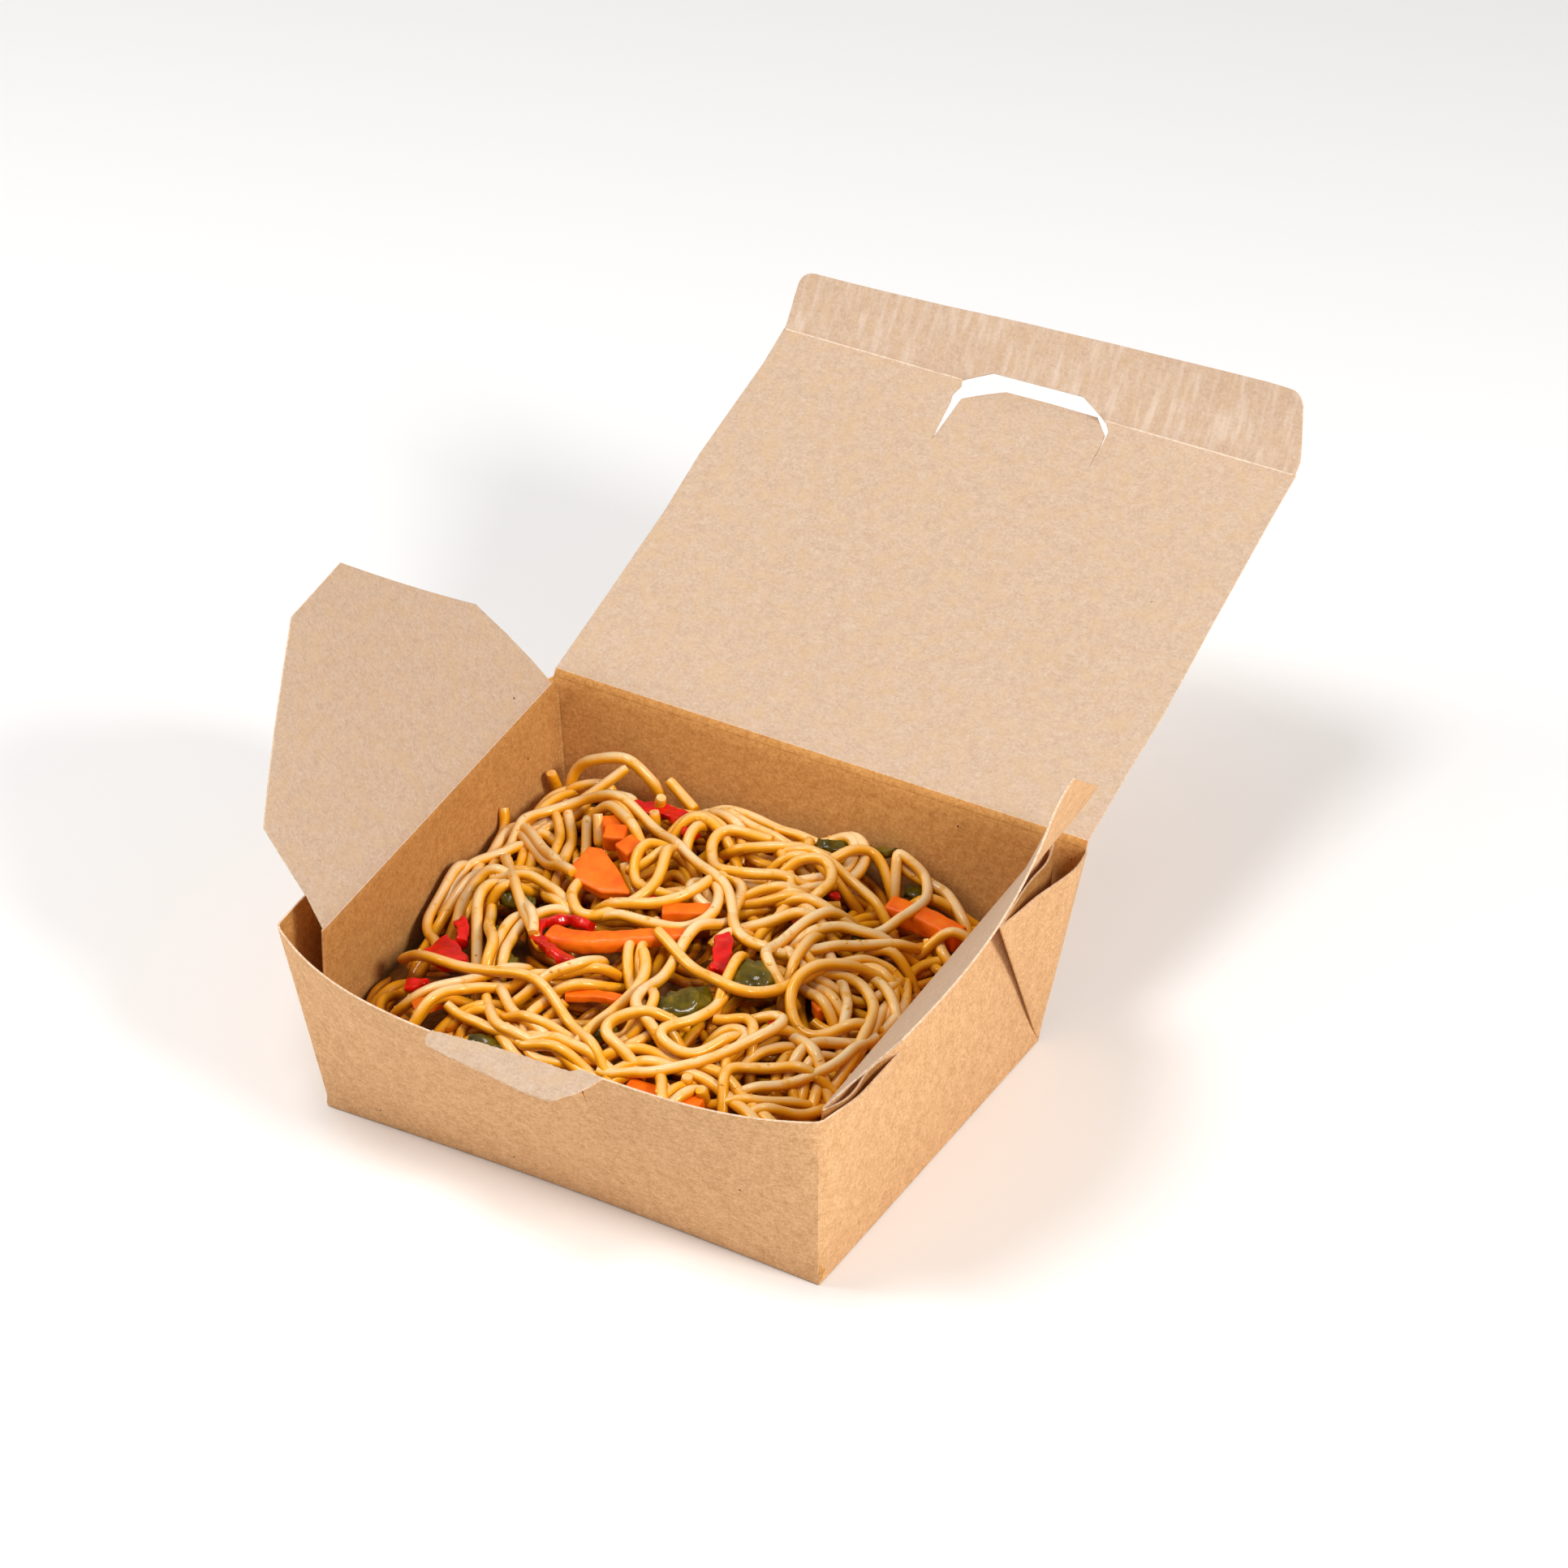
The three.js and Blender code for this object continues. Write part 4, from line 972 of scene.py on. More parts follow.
def fill_pile(pile, ceiling, count, tries=7, blocked=None):
    """Lays noodles into the lowest parts of a pile, under a ceiling, and returns them."""
    laid = []
    open_floor = np.ones_like(column, bool)
    for corner, inward in room_sides:
        open_floor &= (column - corner[0]) * inward[0] + (row - corner[1]) * inward[1] > 2.5

    def measured(path):
        z = pile.rest(path, NOODLE)
        i, j = pile.cells(path[:, 0], path[:, 1])
        above = z + NOODLE - ceiling[i, j]
        cost = np.clip(above, 0, None).mean() * 4 + above.mean() + np.clip(above, 0, None).max()
        if blocked is not None:
            cost += 1.5 * blocked[i, j].sum()
        return cost, path, z

    while len(laid) < count:
        want = np.where(open_floor, np.clip(ceiling - pile.top - 0.8, 0, 6), 0).ravel() ** 2
        if want.sum() < 1:
            break
        spots = np.searchsorted(np.cumsum(want), [chance.random() * want.sum() for _ in range(tries)])
        starts = [(column.flat[spot], row.flat[spot]) for spot in spots]
        cost, path, z = min((measured(wandering(start, chance.uniform(*LENGTHS))) for start in starts),
                            key=lambda option: option[0])
        group = [(path, z)]
        for side in (1, -1):
            near_cost, near_path, near_z = measured(beside(path, side * (2 * NOODLE + 0.1)))
            if near_cost < cost + 0.8:
                group.append((near_path, near_z))
        for flat, z in group:
            path = ducked(np.column_stack([flat, z]))
            pile.add_rope(path, NOODLE)
            laid.append(path)
    return laid


surface = heap(column, row)
hollow = soft_step((-26 - column) / 18) * soft_step((16 - row) / 26)
pile = Pile(surface - 9.0 - 2.0 * hollow)
under_noodles = fill_pile(pile, surface - 3.0 - 3.0 * hollow, 130)
print("noodles under the vegetables:", len(under_noodles), "of", round(sum(map(len, under_noodles))), "mm")

# %% [markdown]
# ## Vegetables
# The carrot is cut with a knife into sticks, dice and a slab, so its faces are flat and its edges only
# a little rounded. Pepper strips are bent skin: thin, curled and glossy. The green pieces have cooked
# soft and wrinkled. Each is placed where the solid model has it. Sticks and strips are a rounded
# rectangle swept along a path; dice and lumps are a ball pressed into shape, then roughened.

# %% Vegetable finishes
SAUCE_FILM = (0.62, 0.30, 0.05)


def food_finish(name, deep, bright, roughness, coat, grain_size, relief=0.35, soft=0.12, glaze=0.35):
    """A cooked, oiled surface: two tones in blotches, a film of yellow sauce and a glossy coat."""
    material, tree, shader = new_material(name, bright, {
        "Roughness": roughness, "Specular IOR Level": 0.22, "Coat Weight": coat, "Coat Roughness": 0.08,
        "Subsurface Weight": soft, "Subsurface Scale": 0.0015})
    place = object_place(tree)
    blotch = cloudy(tree, place, 1000 / grain_size, 3.0)
    tone = blend_colour(tree, steps(tree, blotch, 0.30, 0.62), deep, bright)
    film = maths(tree, "MULTIPLY", steps(tree, cloudy(tree, place, 1000 / 4.5, 4.0), 0.58, 0.72), glaze)
    tone = blend_colour(tree, film, tone, SAUCE_FILM)
    paint(tree, shader, tone, cloudy(tree, place, 1000 / (grain_size * 0.4), 3.0), relief, 0.0003)
    return material


carrot_flesh = food_finish("carrot_flesh", (0.80, 0.10, 0.001), (0.91, 0.17, 0.002), 0.5, 0.14, 5.0,
                           relief=0.3, glaze=0.14)
red_skin = food_finish("red_pepper_skin", (0.44, 0.003, 0.001), (0.74, 0.008, 0.003), 0.3, 0.4, 4.5,
                       relief=0.12, soft=0.08, glaze=0.0)
green_skin = food_finish("green_pepper_skin", (0.040, 0.027, 0.0008), (0.135, 0.092, 0.0015), 0.3, 0.28,
                         4.5, relief=0.3, soft=0.06, glaze=0.15)

# %% Shapes of cut vegetables
def roughened(points, centres, size, amount, seed):
    """Points moved out from or in towards their centres by noise of a given size."""
    away = unit_rows(points - centres, 1e-9)
    shift = [noise.noise(Vector(tuple(p / size)) + Vector((seed * 7.1, seed * 3.3, 0))) for p in points]
    return points + away * (amount * np.array(shift))[:, None]


def swept_piece(name, path, width, thickness, finish, squareness, rough, twist=0.0, cup=0.0, narrow=1.0):
    """A rounded rectangle swept along a path. Two smaller rings round off each cut end."""
    line = smooth_path(path, 0.7)
    ahead = unit_rows(np.gradient(line, axis=0))
    side = unit_rows(np.cross(ahead, (0, 0, 1)))
    up = np.cross(side, ahead)
    sides, last = 28, len(line) - 1
    angles = np.linspace(0, math.tau, sides + 1)[:-1]
    across, high = (np.sign(wave) * np.abs(wave) ** (2 / squareness) * size / 2
                    for wave, size in ((np.cos(angles), width), (np.sin(angles), thickness)))
    end_insets = {-2: 0.55, -1: 0.94, last + 1: 0.94, last + 2: 0.55}
    rings, centres = [], []
    for k in range(-2, last + 3):
        i = min(max(k, 0), last)
        inset = end_insets.get(k, 1.0)
        past = 0.28 * (min(k, 0) + max(k - last, 0)) * (0.6 if inset < 0.9 else 1)
        roll = twist * (i / len(line) - 0.5)
        slim = inset * (1 + (narrow - 1) * (i / len(line)) ** 2)
        wide, tall = across * slim, (high + cup * (across / width * 2) ** 2) * slim
        x = wide * math.cos(roll) - tall * math.sin(roll)
        z = wide * math.sin(roll) + tall * math.cos(roll)
        rings.append(line[i] + past * ahead[i] + x[:, None] * side[i] + z[:, None] * up[i])
        centres.append(np.tile(line[i], (sides, 1)))
    points = roughened(np.vstack(rings), np.vstack(centres), 2.6, rough, len(name))
    return new_piece(name, points, tube_faces(len(rings), sides), [finish], sharp=60), points


def edge_reach(angles, corners):
    """How far an outline with straight edges about the origin reaches at each angle."""
    ways = np.stack([np.cos(angles), np.sin(angles)], 1)[:, None]
    start = np.array(corners, float)
    edge = np.roll(start, -1, 0) - start
    crossed = ways[..., 0] * edge[:, 1] - ways[..., 1] * edge[:, 0]
    far = (start[:, 0] * edge[:, 1] - start[:, 1] * edge[:, 0]) / crossed
    share = (start[:, 0] * ways[..., 1] - start[:, 1] * ways[..., 0]) / crossed
    return np.where((far > 0) & (share > -1e-6) & (share < 1 + 1e-6), far, np.inf).min(1)


def pressed_piece(name, centre, size, finish, squareness, rough, grain, turn, tilt=0.0, corners=None,
                  folds=0.0):
    """A ball pressed towards a box, or towards a plate with given corners, then roughened and turned."""
    mesh = bpy.data.meshes.new(name + "_ball")
    ball = bmesh.new()
    bmesh.ops.create_cube(ball, size=2)
    bmesh.ops.subdivide_edges(ball, edges=ball.edges[:], cuts=13, use_grid_fill=True)
    ball.to_mesh(mesh)
    ball.free()
    points = np.array([tuple(v.co) for v in mesh.vertices])
    faces = [list(polygon.vertices) for polygon in mesh.polygons]
    bpy.data.meshes.remove(mesh)
    length = (np.abs(points) ** squareness).sum(1) ** (1 / squareness)
    points = points / length[:, None]
    if corners:
        angle = np.arctan2(points[:, 1], points[:, 0]) + 1e-4
        square = (np.abs(np.cos(angle)) ** squareness
                  + np.abs(np.sin(angle)) ** squareness) ** (1 / squareness)
        points[:, :2] *= (square * edge_reach(angle, corners))[:, None]
    points = points * np.array(size) / 2
    if folds:
        x, y = points[:, 0], points[:, 1]
        points[:, 2] += folds * np.sin(x * 2.1 + y * 1.2) * np.sin(y * 1.7 + 1)
    points = roughened(points, np.zeros(3), grain, rough, len(name))
    pose = Matrix.Rotation(math.radians(turn), 3, "Z") @ Matrix.Rotation(math.radians(tilt), 3, "X")
    points = points @ np.array(pose).T + np.array(centre)
    return new_piece(name, points, faces, [finish], sharp=70), points


def on_heap(path, lift, rise=0.0):
    """A flat path lifted above the heap's surface, and at its end by a further rise."""
    x, y = np.array(path, float).T
    return np.column_stack([x, y, heap(x, y) + lift + rise * np.linspace(0, 1, len(path)) ** 2])


# %% Carrot, red pepper and green pepper
vegetables = []


def serve(node, made):
    piece, points = made
    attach(piece, "tray")
    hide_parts(node)
    pile.add_points(points)
    vegetables.append(piece)


def serve_swept(slot, finish, table, **cut):
    """Serves swept pieces. Each row has a path, a width and thickness, a lift, and what sets it apart."""
    for node, (path, (width, thickness), lift, *own) in table.items():
        own = {**cut, **(own[0] if own else {})}
        path = on_heap(path, lift, own.pop("rise", 0.0))
        serve(node, swept_piece(node + "_piece", path, width, thickness, finish, **own))


serve_swept("carrot", carrot_flesh, {
    "carrot_stick_long": ([(-31, -15.5), (-24, -16), (-15, -12), (-6, -6.5), (3.5, -2)], (6.8, 5.4), 1.9,
                          {"squareness": 2.5, "narrow": 0.62}),
    "carrot_stick_right": ([(38, 44), (48, 44.5), (60, 42.5)], (6.2, 6), 1.9),
    "carrot_stick_front": ([(17, -54), (27, -52.5), (37, -51)], (5.4, 4.4), 1.6),
    "carrot_shred": ([(-14, -35), (-6, -31), (1, -29)], (3.2, 2.2), 0.7),
    "carrot_chunk": ([(-9, 5), (2.5, 11.5)], (5, 4.4), 2.6),
    "carrot_piece_left": ([(-50, -53), (-45.5, -48)], (4, 3.4), 1.0),
}, squareness=6, rough=0.3)

DICE = {
    "carrot_dice_a": ((-40.5, 30.5), (6.2, 5.8, 5.4), 20, 8, 3.4),
    "carrot_dice_b": ((-31.5, 24.5), (6.8, 6.0, 5.6), -25, 12, 3.6),
    "carrot_dice_c": ((-45.5, 36.5), (5.4, 5, 4.6), 35, 0, 3.0),
    "carrot_dice_d": ((45.5, -3), (6.4, 5, 4.4), 50, 0, -0.8),
}
for node, ((x, y), size, turn, tilt, lift) in DICE.items():
    serve(node, pressed_piece(
        node + "_piece", (x, y, heap(x, y) + lift), size, carrot_flesh, 9, 0.25, 3.0, turn, tilt))
slab_corners = [(-3.2, 7.7), (-7.6, 1.8), (-6.1, -2.3), (0.1, -6.1), (7.2, -6.6), (3.8, 1.1), (0.3, 6.9)]
serve("carrot_slab", pressed_piece(
    "carrot_slab_piece", (-33, 12, heap(-33, 12) + 3.6), (2.25, 2.25, 3.6), carrot_flesh, 9, 0.3, 6.0,
    turn=31.5, tilt=20, corners=slab_corners))

serve_swept("red_pepper", red_skin, {
    "red_pepper_curl": ([(-24, -8), (-31, -7.5), (-36, -12), (-34, -18.5), (-27.5, -23), (-19.5, -26.5),
                         (-12.5, -25)], (3.4, 3), 2.5, {"twist": 1.6}),
    "red_pepper_arc": ([(-47.5, 42), (-45, 47), (-37, 49.5), (-29.5, 47.5), (-22, 40)], (5.2, 3.2), 3.4,
                       {"twist": 0.9}),
    "red_pepper_chunk": ([(-60, -29.5), (-55, -32), (-50, -35.5)], (9.5, 3.2), 3.1, {"twist": 0.5}),
    "red_pepper_fold": ([(-59.5, -17.5), (-56.5, -20.5), (-54, -25)], (3.8, 3), 3.0, {"twist": 0.8}),
    "red_pepper_low": ([(-58, -45), (-53, -43)], (3.8, 2.6), 0.9, {"twist": 0.3}),
    "red_pepper_strip": ([(11.5, 3), (15, -4), (17.5, -11)], (4.8, 3), 1.6, {"twist": 0.8}),
}, squareness=2.8, rough=0.9, cup=0.7)

LUMPS = {
    "green_pepper_big": ((16, -26.5), (18, 9.5, 6.4), 58, 3.2),
    "green_pepper_round": ((26.5, -8.4), (13.5, 11.5, 7.4), 60, 2.8),
    "green_pepper_small": ((0.5, -41.5), (9, 4.6, 3.6), 40, 0.9),
    "green_pepper_left_a": ((-50, -4), (12.5, 5.6, 4), -4, 0.9),
    "green_pepper_left_b": ((-45.5, -16.5), (9.5, 6, 4.2), 60, 1.1),
    "green_pepper_dark": ((-36, -29.5), (8.5, 5.6, 3.6), -20, 0.8),
}
for node, ((x, y), size, turn, lift) in LUMPS.items():
    serve(node, pressed_piece(
        node + "_piece", (x, y, heap(x, y) + lift), size, green_skin, 2.4, 1.3, 2.8, turn, folds=0.35))
serve_swept("green_pepper", green_skin, {
    "green_pepper_front": ([(-31, -56), (-20, -54)], (4.4, 3), 0.8),
    "green_pepper_yellow": ([(38, 25), (42, 27.5), (47, 28.5)], (4.6, 2.8), 1.0),
    "green_pepper_ring": ([(36, 57), (41, 57.5), (45, 54.5)], (4.4, 2.8), 1.0),
    "green_pepper_strip": ([(10.5, 53), (15.5, 56.5), (21, 59), (26, 60.6), (30, 61.5)], (3.6, 2.6), 3.6,
                           {"rise": 5.0}),
}, squareness=2.6, rough=1.0, twist=0.9, cup=0.5)

RED_BITS = {
    "red_bit_back": ((-22, 61, 41), (3.4, 2.6, 1.8), 10, "red_pepper_arc"),
    "red_bit_middle": ((-17, 9.3, 45.8), (4.4, 2.6, 2), 40, "red_pepper_strip"),
    "red_bit_ring": ((40, -18, 43.2), (4.4, 3.4, 2.2), 70, "red_pepper_strip"),
    "red_bit_front": ((12.5, -42, 42), (5.4, 2.8, 1.8), -30, "red_pepper_strip"),
    "red_bit_right": ((24, 39, 42.6), (3.2, 2.4, 1.8), 0, "red_pepper_strip"),
}
for name, (place, size, turn, node) in RED_BITS.items():
    serve(node, pressed_piece(name, place, size, red_skin, 2.6, 0.5, 2.0, turn, folds=0.2))
for name, place, size in (("carrot_bit_left", (-22.8, -33, 44.4), (4.6, 3.6, 2.4)),
                          ("carrot_bit_back", (24.4, 21.7, 46), (6.5, 2.6, 2.4))):
    serve("carrot_shred", pressed_piece(name, place, size, carrot_flesh, 5, 0.3, 2.4, 20))
print("vegetable pieces:", len(vegetables))

# %% [markdown]
# Over the vegetables lie more wandering noodles, which mostly keep off them, and then the noodles that
# give this portion its look: the ring at the right, the long bows across the middle, the hooks along
# the front. Those are drawn from above, lowest first, and let down on the pile like the rest.
# Short ones that stand against a wall or dive between their neighbours have their heights given too.

# %% Noodles over the vegetables
covered = pile.top > surface - 0.9
covered |= (column - 64) ** 2 + (row - 24) ** 2 < 8 ** 2
kept_clear = covered.copy()
before_it = [(round(-0.85 * k / CELL), round(0.52 * k / CELL)) for k in range(1, 6)]
for shift in (*before_it, (0, 4), (0, -4), (4, 0), (-4, 0)):
    kept_clear |= np.roll(covered, shift, (0, 1))
low_back = soft_step((column + 2) / 20) * soft_step((row - 34) / 16)
ceiling = surface - 1.0 - 1.6 * kept_clear - 4.0 * hollow - 1.8 * low_back
over_noodles = fill_pile(pile, ceiling, 100, blocked=covered.astype(float))
print("noodles around the vegetables:", len(over_noodles))

LOW_STRANDS = [
    [(-68, -25), (-70, -11), (-68, 4)],
    [(-73, -2), (-74, 7), (-72, 11), (-68, 16), (-66, 23)],
    [(-58, -3), (-59, -9), (-55, -16), (-49, -25), (-42, -36)],
    [(-55, -9), (-49, -19), (-42, -27), (-40, -34)],
    [(-66, -42), (-66, -47), (-63, -51), (-59, -55)],
    [(-67, -36), (-69, -41), (-69, -47), (-68, -53)],
    [(-34, -39), (-39, -42), (-43, -47), (-45, -53), (-46, -56)],
    [(-42, -50), (-32, -51), (-19, -53)],
    [(-32, -39), (-23, -46), (-12, -50)],
    [(-30, -47), (-26, -51), (-21, -53), (-17, -53)],
    [(-11, -54), (-5, -54), (1, -54)],
    [(-17, -47), (-10, -40), (-1, -36)],
    [(-20, -48), (-14, -49), (-2, -46)],
    [(-25, 58), (-12, 59), (3, 57), (12, 58)],
    [(-21, 56), (-13, 53), (0, 52)],
    ["free", (-25, 55), (-18, 52), (-11, 49)],
    [(-15, 42), (-8, 41), (3, 45), (13, 51)],
    [(6, 40), (14, 44), (20, 42), (29, 43)],
    [(10, 45), (19, 45), (30, 43), (38, 40)],
    [(10, 38), (14, 42), (20, 43), (25, 35), (24, 31)],
    [(22, 26), (32, 27), (40, 29)],
    [(20, 50), (25, 58), (34, 53)],
    [(39, 63), (45, 61), (52, 56), (58, 52)],
    [(6, 24), (16, 30), (20, 35)],
    [(32, 14), (33, 6), (34, -1)],
    [(11, 12), (20, 18), (30, 23)],
    [(29, 14), (35, 23), (41, 25), (47, 28)],
    [(37, 14), (44, 22), (52, 30), (52, 35)],
    [(44, 10), (48, 17), (56, 15), (62, 17)],
    [(59, 4), (61, -4), (62, -18)],
    [(51, 13), (56, 11), (63, 4)],
    [(42, 9), (50, 1), (54, -8)],
    [(44, -18), (54, -23), (58, -26)],
    [(52, -48), (57, -45), (61, -40), (63, -34)],
    [(37, -48), (48, -45), (53, -41), (58, -36)],
    [(27, -29), (28, -26), (31, -24), (35, -25), (37, -28), (36, -32)],
    [(-17, -54), (-6, -51), (14, -52)],
    [(-56, 40), (-47, 25), (-43, 19)],
    [(-21, -36), (-14, -30), (-11, -22), (-13, -18.5), "free"],
]
TOP_STRANDS = [
    [(-29, 18), (-25, 19.5), (-22.5, 23), (-22, 30)],
    [(-71, 28), (-55, 17), (-39, 7), "free"],
    [(-65, 13), (-48, -6), (-33, -20), (-30, -22)],
    [(-75, 6), (-75, -9), (-71, -17), (-64, -22), (-62, -30)],
    [(-61, -17), (-65, -10), (-66, -3), (-64, 2), (-60, 3)],
    [(-54, 3), (-49, 4), (-42, 2), (-35, -1)],
    [(-48, -5), (-38, -14), (-34, -20), "free"],
    [(-37, 7), (-37, 3), (-31, -4), (-27, -4), (-21, 3), (-17, 10), (-17, 16), (-21, 27)],
    [(-21, -1), (-10, 0), (0, 1), (4, 9), (0, 19), (-4, 22)],
    [(-74, 21), (-75, 30), (-68, 28), (-60, 22), (-43, 10)],
    [(33, 56), (31, 62), (36, 64), (41, 59), (46, 48), (43, 34), (39, 29)],
    ["free", (-31, 3), (-20, 2), (-10, 7), (-5, 16), (-4, 27), (3, 26), (7, 14), (15, 5), (24, 5)],
    ["free", (-1, 48), (-12, 47), (-15, 45), (-15, 39), (-7, 29), (-2, 28), (5, 30), (14, 35)],
    [(-71, 28), (-71, 34), (-63, 45), (-51, 45), (-33, 40), (-17, 30), (-4, 23), (2, 20), (7, 14)],
    [(32, 27), (26, 15), (25, 3), (27, -2), (32, -6), (36, -6)],
    [(42, 5), (50, 8), (58, 1), (62, -15), (62, -21)],
    ["free", (-30, -28), (-36, -36), (-45, -42), (-53, -51), (-59, -52), "free"],
    ["free", (-69, -32), (-54, -38), (-32, -37), (-19, -38), (-6, -44), (6, -51)],
    ["free", (-4, -13), (0, -18), (2, -28), (-1, -44)],
    [(5, 4), (4, -1), (4.5, -14), (5, -26), (8, -36), (17, -39.5)],
    [(24, -21), (23, -29), (18, -37), (18, -41), (26, -41), (31, -34), (33, -29)],
    [(28, -23), (32, -21), (36, -23), (39, -29)],
    [(15, -36), (5, -42), (4, -45), (7, -47), (18, -49)],
    [(15, -52), (23, -49), (36, -34), (42, -23), (42, -17), (36, -18)],
    [(39, -46), (48, -39), (58, -28), (61, -22), (62, -14)],
    [(40, -45), (38, -39), (46, -32), (56, -29)],
    ["free", (-4, -6), (9, -12), (25, -18), (33, -13), (42, 7), (48, 10), "free"],
    [(48, 11), (40, 2), (38, -8), (45, -15), (53, -12), (58, -7)],
]
STANDING_STRANDS = [
    [(-72, 56, 33), (-72, 57, 38), (-70, 58, 42), (-65, 58, 46), (-55, 59, 49), (-48, 60, 44),
     (-45, 61, 39)],
    [(-54, 58, 47), (-62, 47, 40), (-70, 41, 34), (-74, 38, 31)],
    [(-77, 54, 40), (-76, 55, 35), (-74, 56, 30)],
    [(-43, 62, 44), (-39, 61, 42), (-32, 58, 40)],
    [(-72, 52, 33), (-69, 53, 38), (-62, 56, 40), (-58, 57, 38)],
    [(-59, 54, 39), (-51, 54, 40), (-49, 54, 38)],
    [(-30, 57, 39), (-26, 56, 42), (-21, 54, 41), (-16, 52, 38)],
    [(-79, 33, 40), (-77, 30, 35), (-75, 22, 34), (-73, 18, 33)],
    [(30.3, -46.7, 41.5), (30, -47, 37)], [(27, -52.5, 41), (27.5, -51, 36)],
    [(35.8, -49.2, 41), (36.5, -48, 37)],
    [(-38, 50.3, 47), (-39, 50.6, 43), (-40, 50, 38)], [(-36.8, 44.6, 46.2), (-36, 44, 42), (-35, 43, 38)],
    [(-49.8, 36.2, 46), (-48.6, 34.5, 43), (-47, 32, 39)],
]


def run_on(flat, longest=9):
    """A path that goes on straight for a while, but not over a vegetable."""
    ahead = unit(flat[-1] - flat[-4])
    for k in range(longest):
        i, j = pile.cells(*(flat[-1] + (k + 3) * ahead))
        if covered[i, j]:
            break
    return np.vstack([flat, flat[-1] + np.arange(1, k + 1)[:, None] * ahead]) if k else flat


def laid_by_hand(points):
    """Lets one drawn noodle down on the pile. An end that isn't free runs on and ducks under."""
    free_start, free_end = points[0] == "free", points[-1] == "free"
    points = [point for point in points if point != "free"]
    flat = smooth_path(points)
    if not free_start:
        flat = run_on(flat[::-1])[::-1]
    if not free_end:
        flat = run_on(flat)
    flat = softened(kept_inside(flat), 2.3)
    path = np.column_stack([flat, pile.rest(flat, NOODLE, sink=1.2, spread=8.5)])
    return ducked(path, not free_start, not free_end)


hand_laid = []
for points in LOW_STRANDS + TOP_STRANDS:
    path = laid_by_hand(points)
    pile.add_rope(path, NOODLE)
    hand_laid.append(path)
hand_laid += [smooth_path(points) for points in STANDING_STRANDS]
highest = max(path[:, 2].max() for path in hand_laid) + NOODLE
print("noodles laid by hand:", len(hand_laid), "highest point:", round(highest, 1))

# %% [markdown]
# A node tree gives the laid lines their thickness. Sweeping a circle along a curve is what a pasta die
# does, and a little slow noise in the circle's size keeps the strands from looking turned on a lathe.
# One tree serves both layers, with its measures as named inputs. A second tree strews small crumbs of
# cooked sauce on whatever faces upwards.

# %% Node trees for strands and crumbs
def growth_tree(name, inputs):
    """A node tree that takes a mesh, with what it is given, where it ends and its inputs' identifiers."""
    tree = bpy.data.node_groups.new(name, "GeometryNodeTree")
    tree.interface.new_socket("Geometry", in_out="INPUT", socket_type="NodeSocketGeometry")
    sockets = {}
    for label, kind in inputs.items():
        sockets[label] = tree.interface.new_socket(label, in_out="INPUT", socket_type=kind).identifier
    tree.interface.new_socket("Geometry", in_out="OUTPUT", socket_type="NodeSocketGeometry")
    given = tree.nodes.new("NodeGroupInput").outputs
    return tree, given, tree.nodes.new("NodeGroupOutput").inputs[0], sockets


def grown(name, source_mesh, growth, values):
    """What a node tree makes of a mesh, as a plain mesh object."""
    tree, _, _, sockets = growth
    source = bpy.data.objects.new(name + "_source", source_mesh)
    bpy.context.scene.collection.objects.link(source)
    modifier = source.modifiers.new("growth", "NODES")
    modifier.node_group = tree
    for label, value in values.items():
        modifier[sockets[label]] = value
    bpy.context.view_layer.update()
    evaluated = source.evaluated_get(bpy.context.evaluated_depsgraph_get())
    piece = bpy.data.objects.new(name, bpy.data.meshes.new_from_object(evaluated))
    bpy.data.objects.remove(source)
    bpy.context.scene.collection.objects.link(piece)
    return piece


def finish_tree(tree, geometry, material, result):
    """Turns instances into real faces and gives them their material."""
    whole = put(tree, "GeometryNodeRealizeInstances", {"Geometry": geometry})
    coloured = put(tree, "GeometryNodeSetMaterial", {"Geometry": whole.outputs[0], "Material": material})
    tree.links.new(coloured.outputs[0], result)


def facing_up(tree):
    """How far the surface faces upwards, from -1 to 1."""
    normal = put(tree, "GeometryNodeInputNormal").outputs[0]
    return put(tree, "ShaderNodeSeparateXYZ", {0: normal}).outputs["Z"]


strand_growth = growth_tree("strand_growth", {
    "Thickness": "NodeSocketFloat", "Sides": "NodeSocketInt", "Unevenness": "NodeSocketFloat",
    "Seed": "NodeSocketFloat", "Material": "NodeSocketMaterial"})
tree, given, result, _ = strand_growth
line = put(tree, "GeometryNodeMeshToCurve", {"Mesh": given["Geometry"]})
waver = put(tree, "ShaderNodeTexNoise", {"W": given["Seed"], "Scale": 160.0, "Detail": 1.0},
            noise_dimensions="4D").outputs[0]
uneven = maths(tree, "MULTIPLY_ADD", maths(tree, "SUBTRACT", waver, 0.5), given["Unevenness"], 1.0)
girth = put(tree, "GeometryNodeInputNamedAttribute", {"Name": "girth"}, data_type="FLOAT")
circle = put(tree, "GeometryNodeCurvePrimitiveCircle", {
    "Resolution": given["Sides"], "Radius": given["Thickness"]})
tube = put(tree, "GeometryNodeCurveToMesh", {
    "Curve": line.outputs[0], "Profile Curve": circle.outputs[0],
    "Scale": maths(tree, "MULTIPLY", uneven, girth.outputs["Attribute"]), "Fill Caps": True})
# How far each point faces away from straight up, stored so that the dough colour can paint shade on sides
# and undersides.
shaded_side = put(tree, "GeometryNodeStoreNamedAttribute", {
    "Geometry": tube.outputs[0], "Name": "underside_shade", "Value": steps(tree, facing_up(tree), 0.97, 0.0)},
    data_type="FLOAT", domain="POINT")
smooth = put(tree, "GeometryNodeSetShadeSmooth", {"Geometry": shaded_side.outputs[0]})
finish_tree(tree, smooth.outputs[0], given["Material"], result)

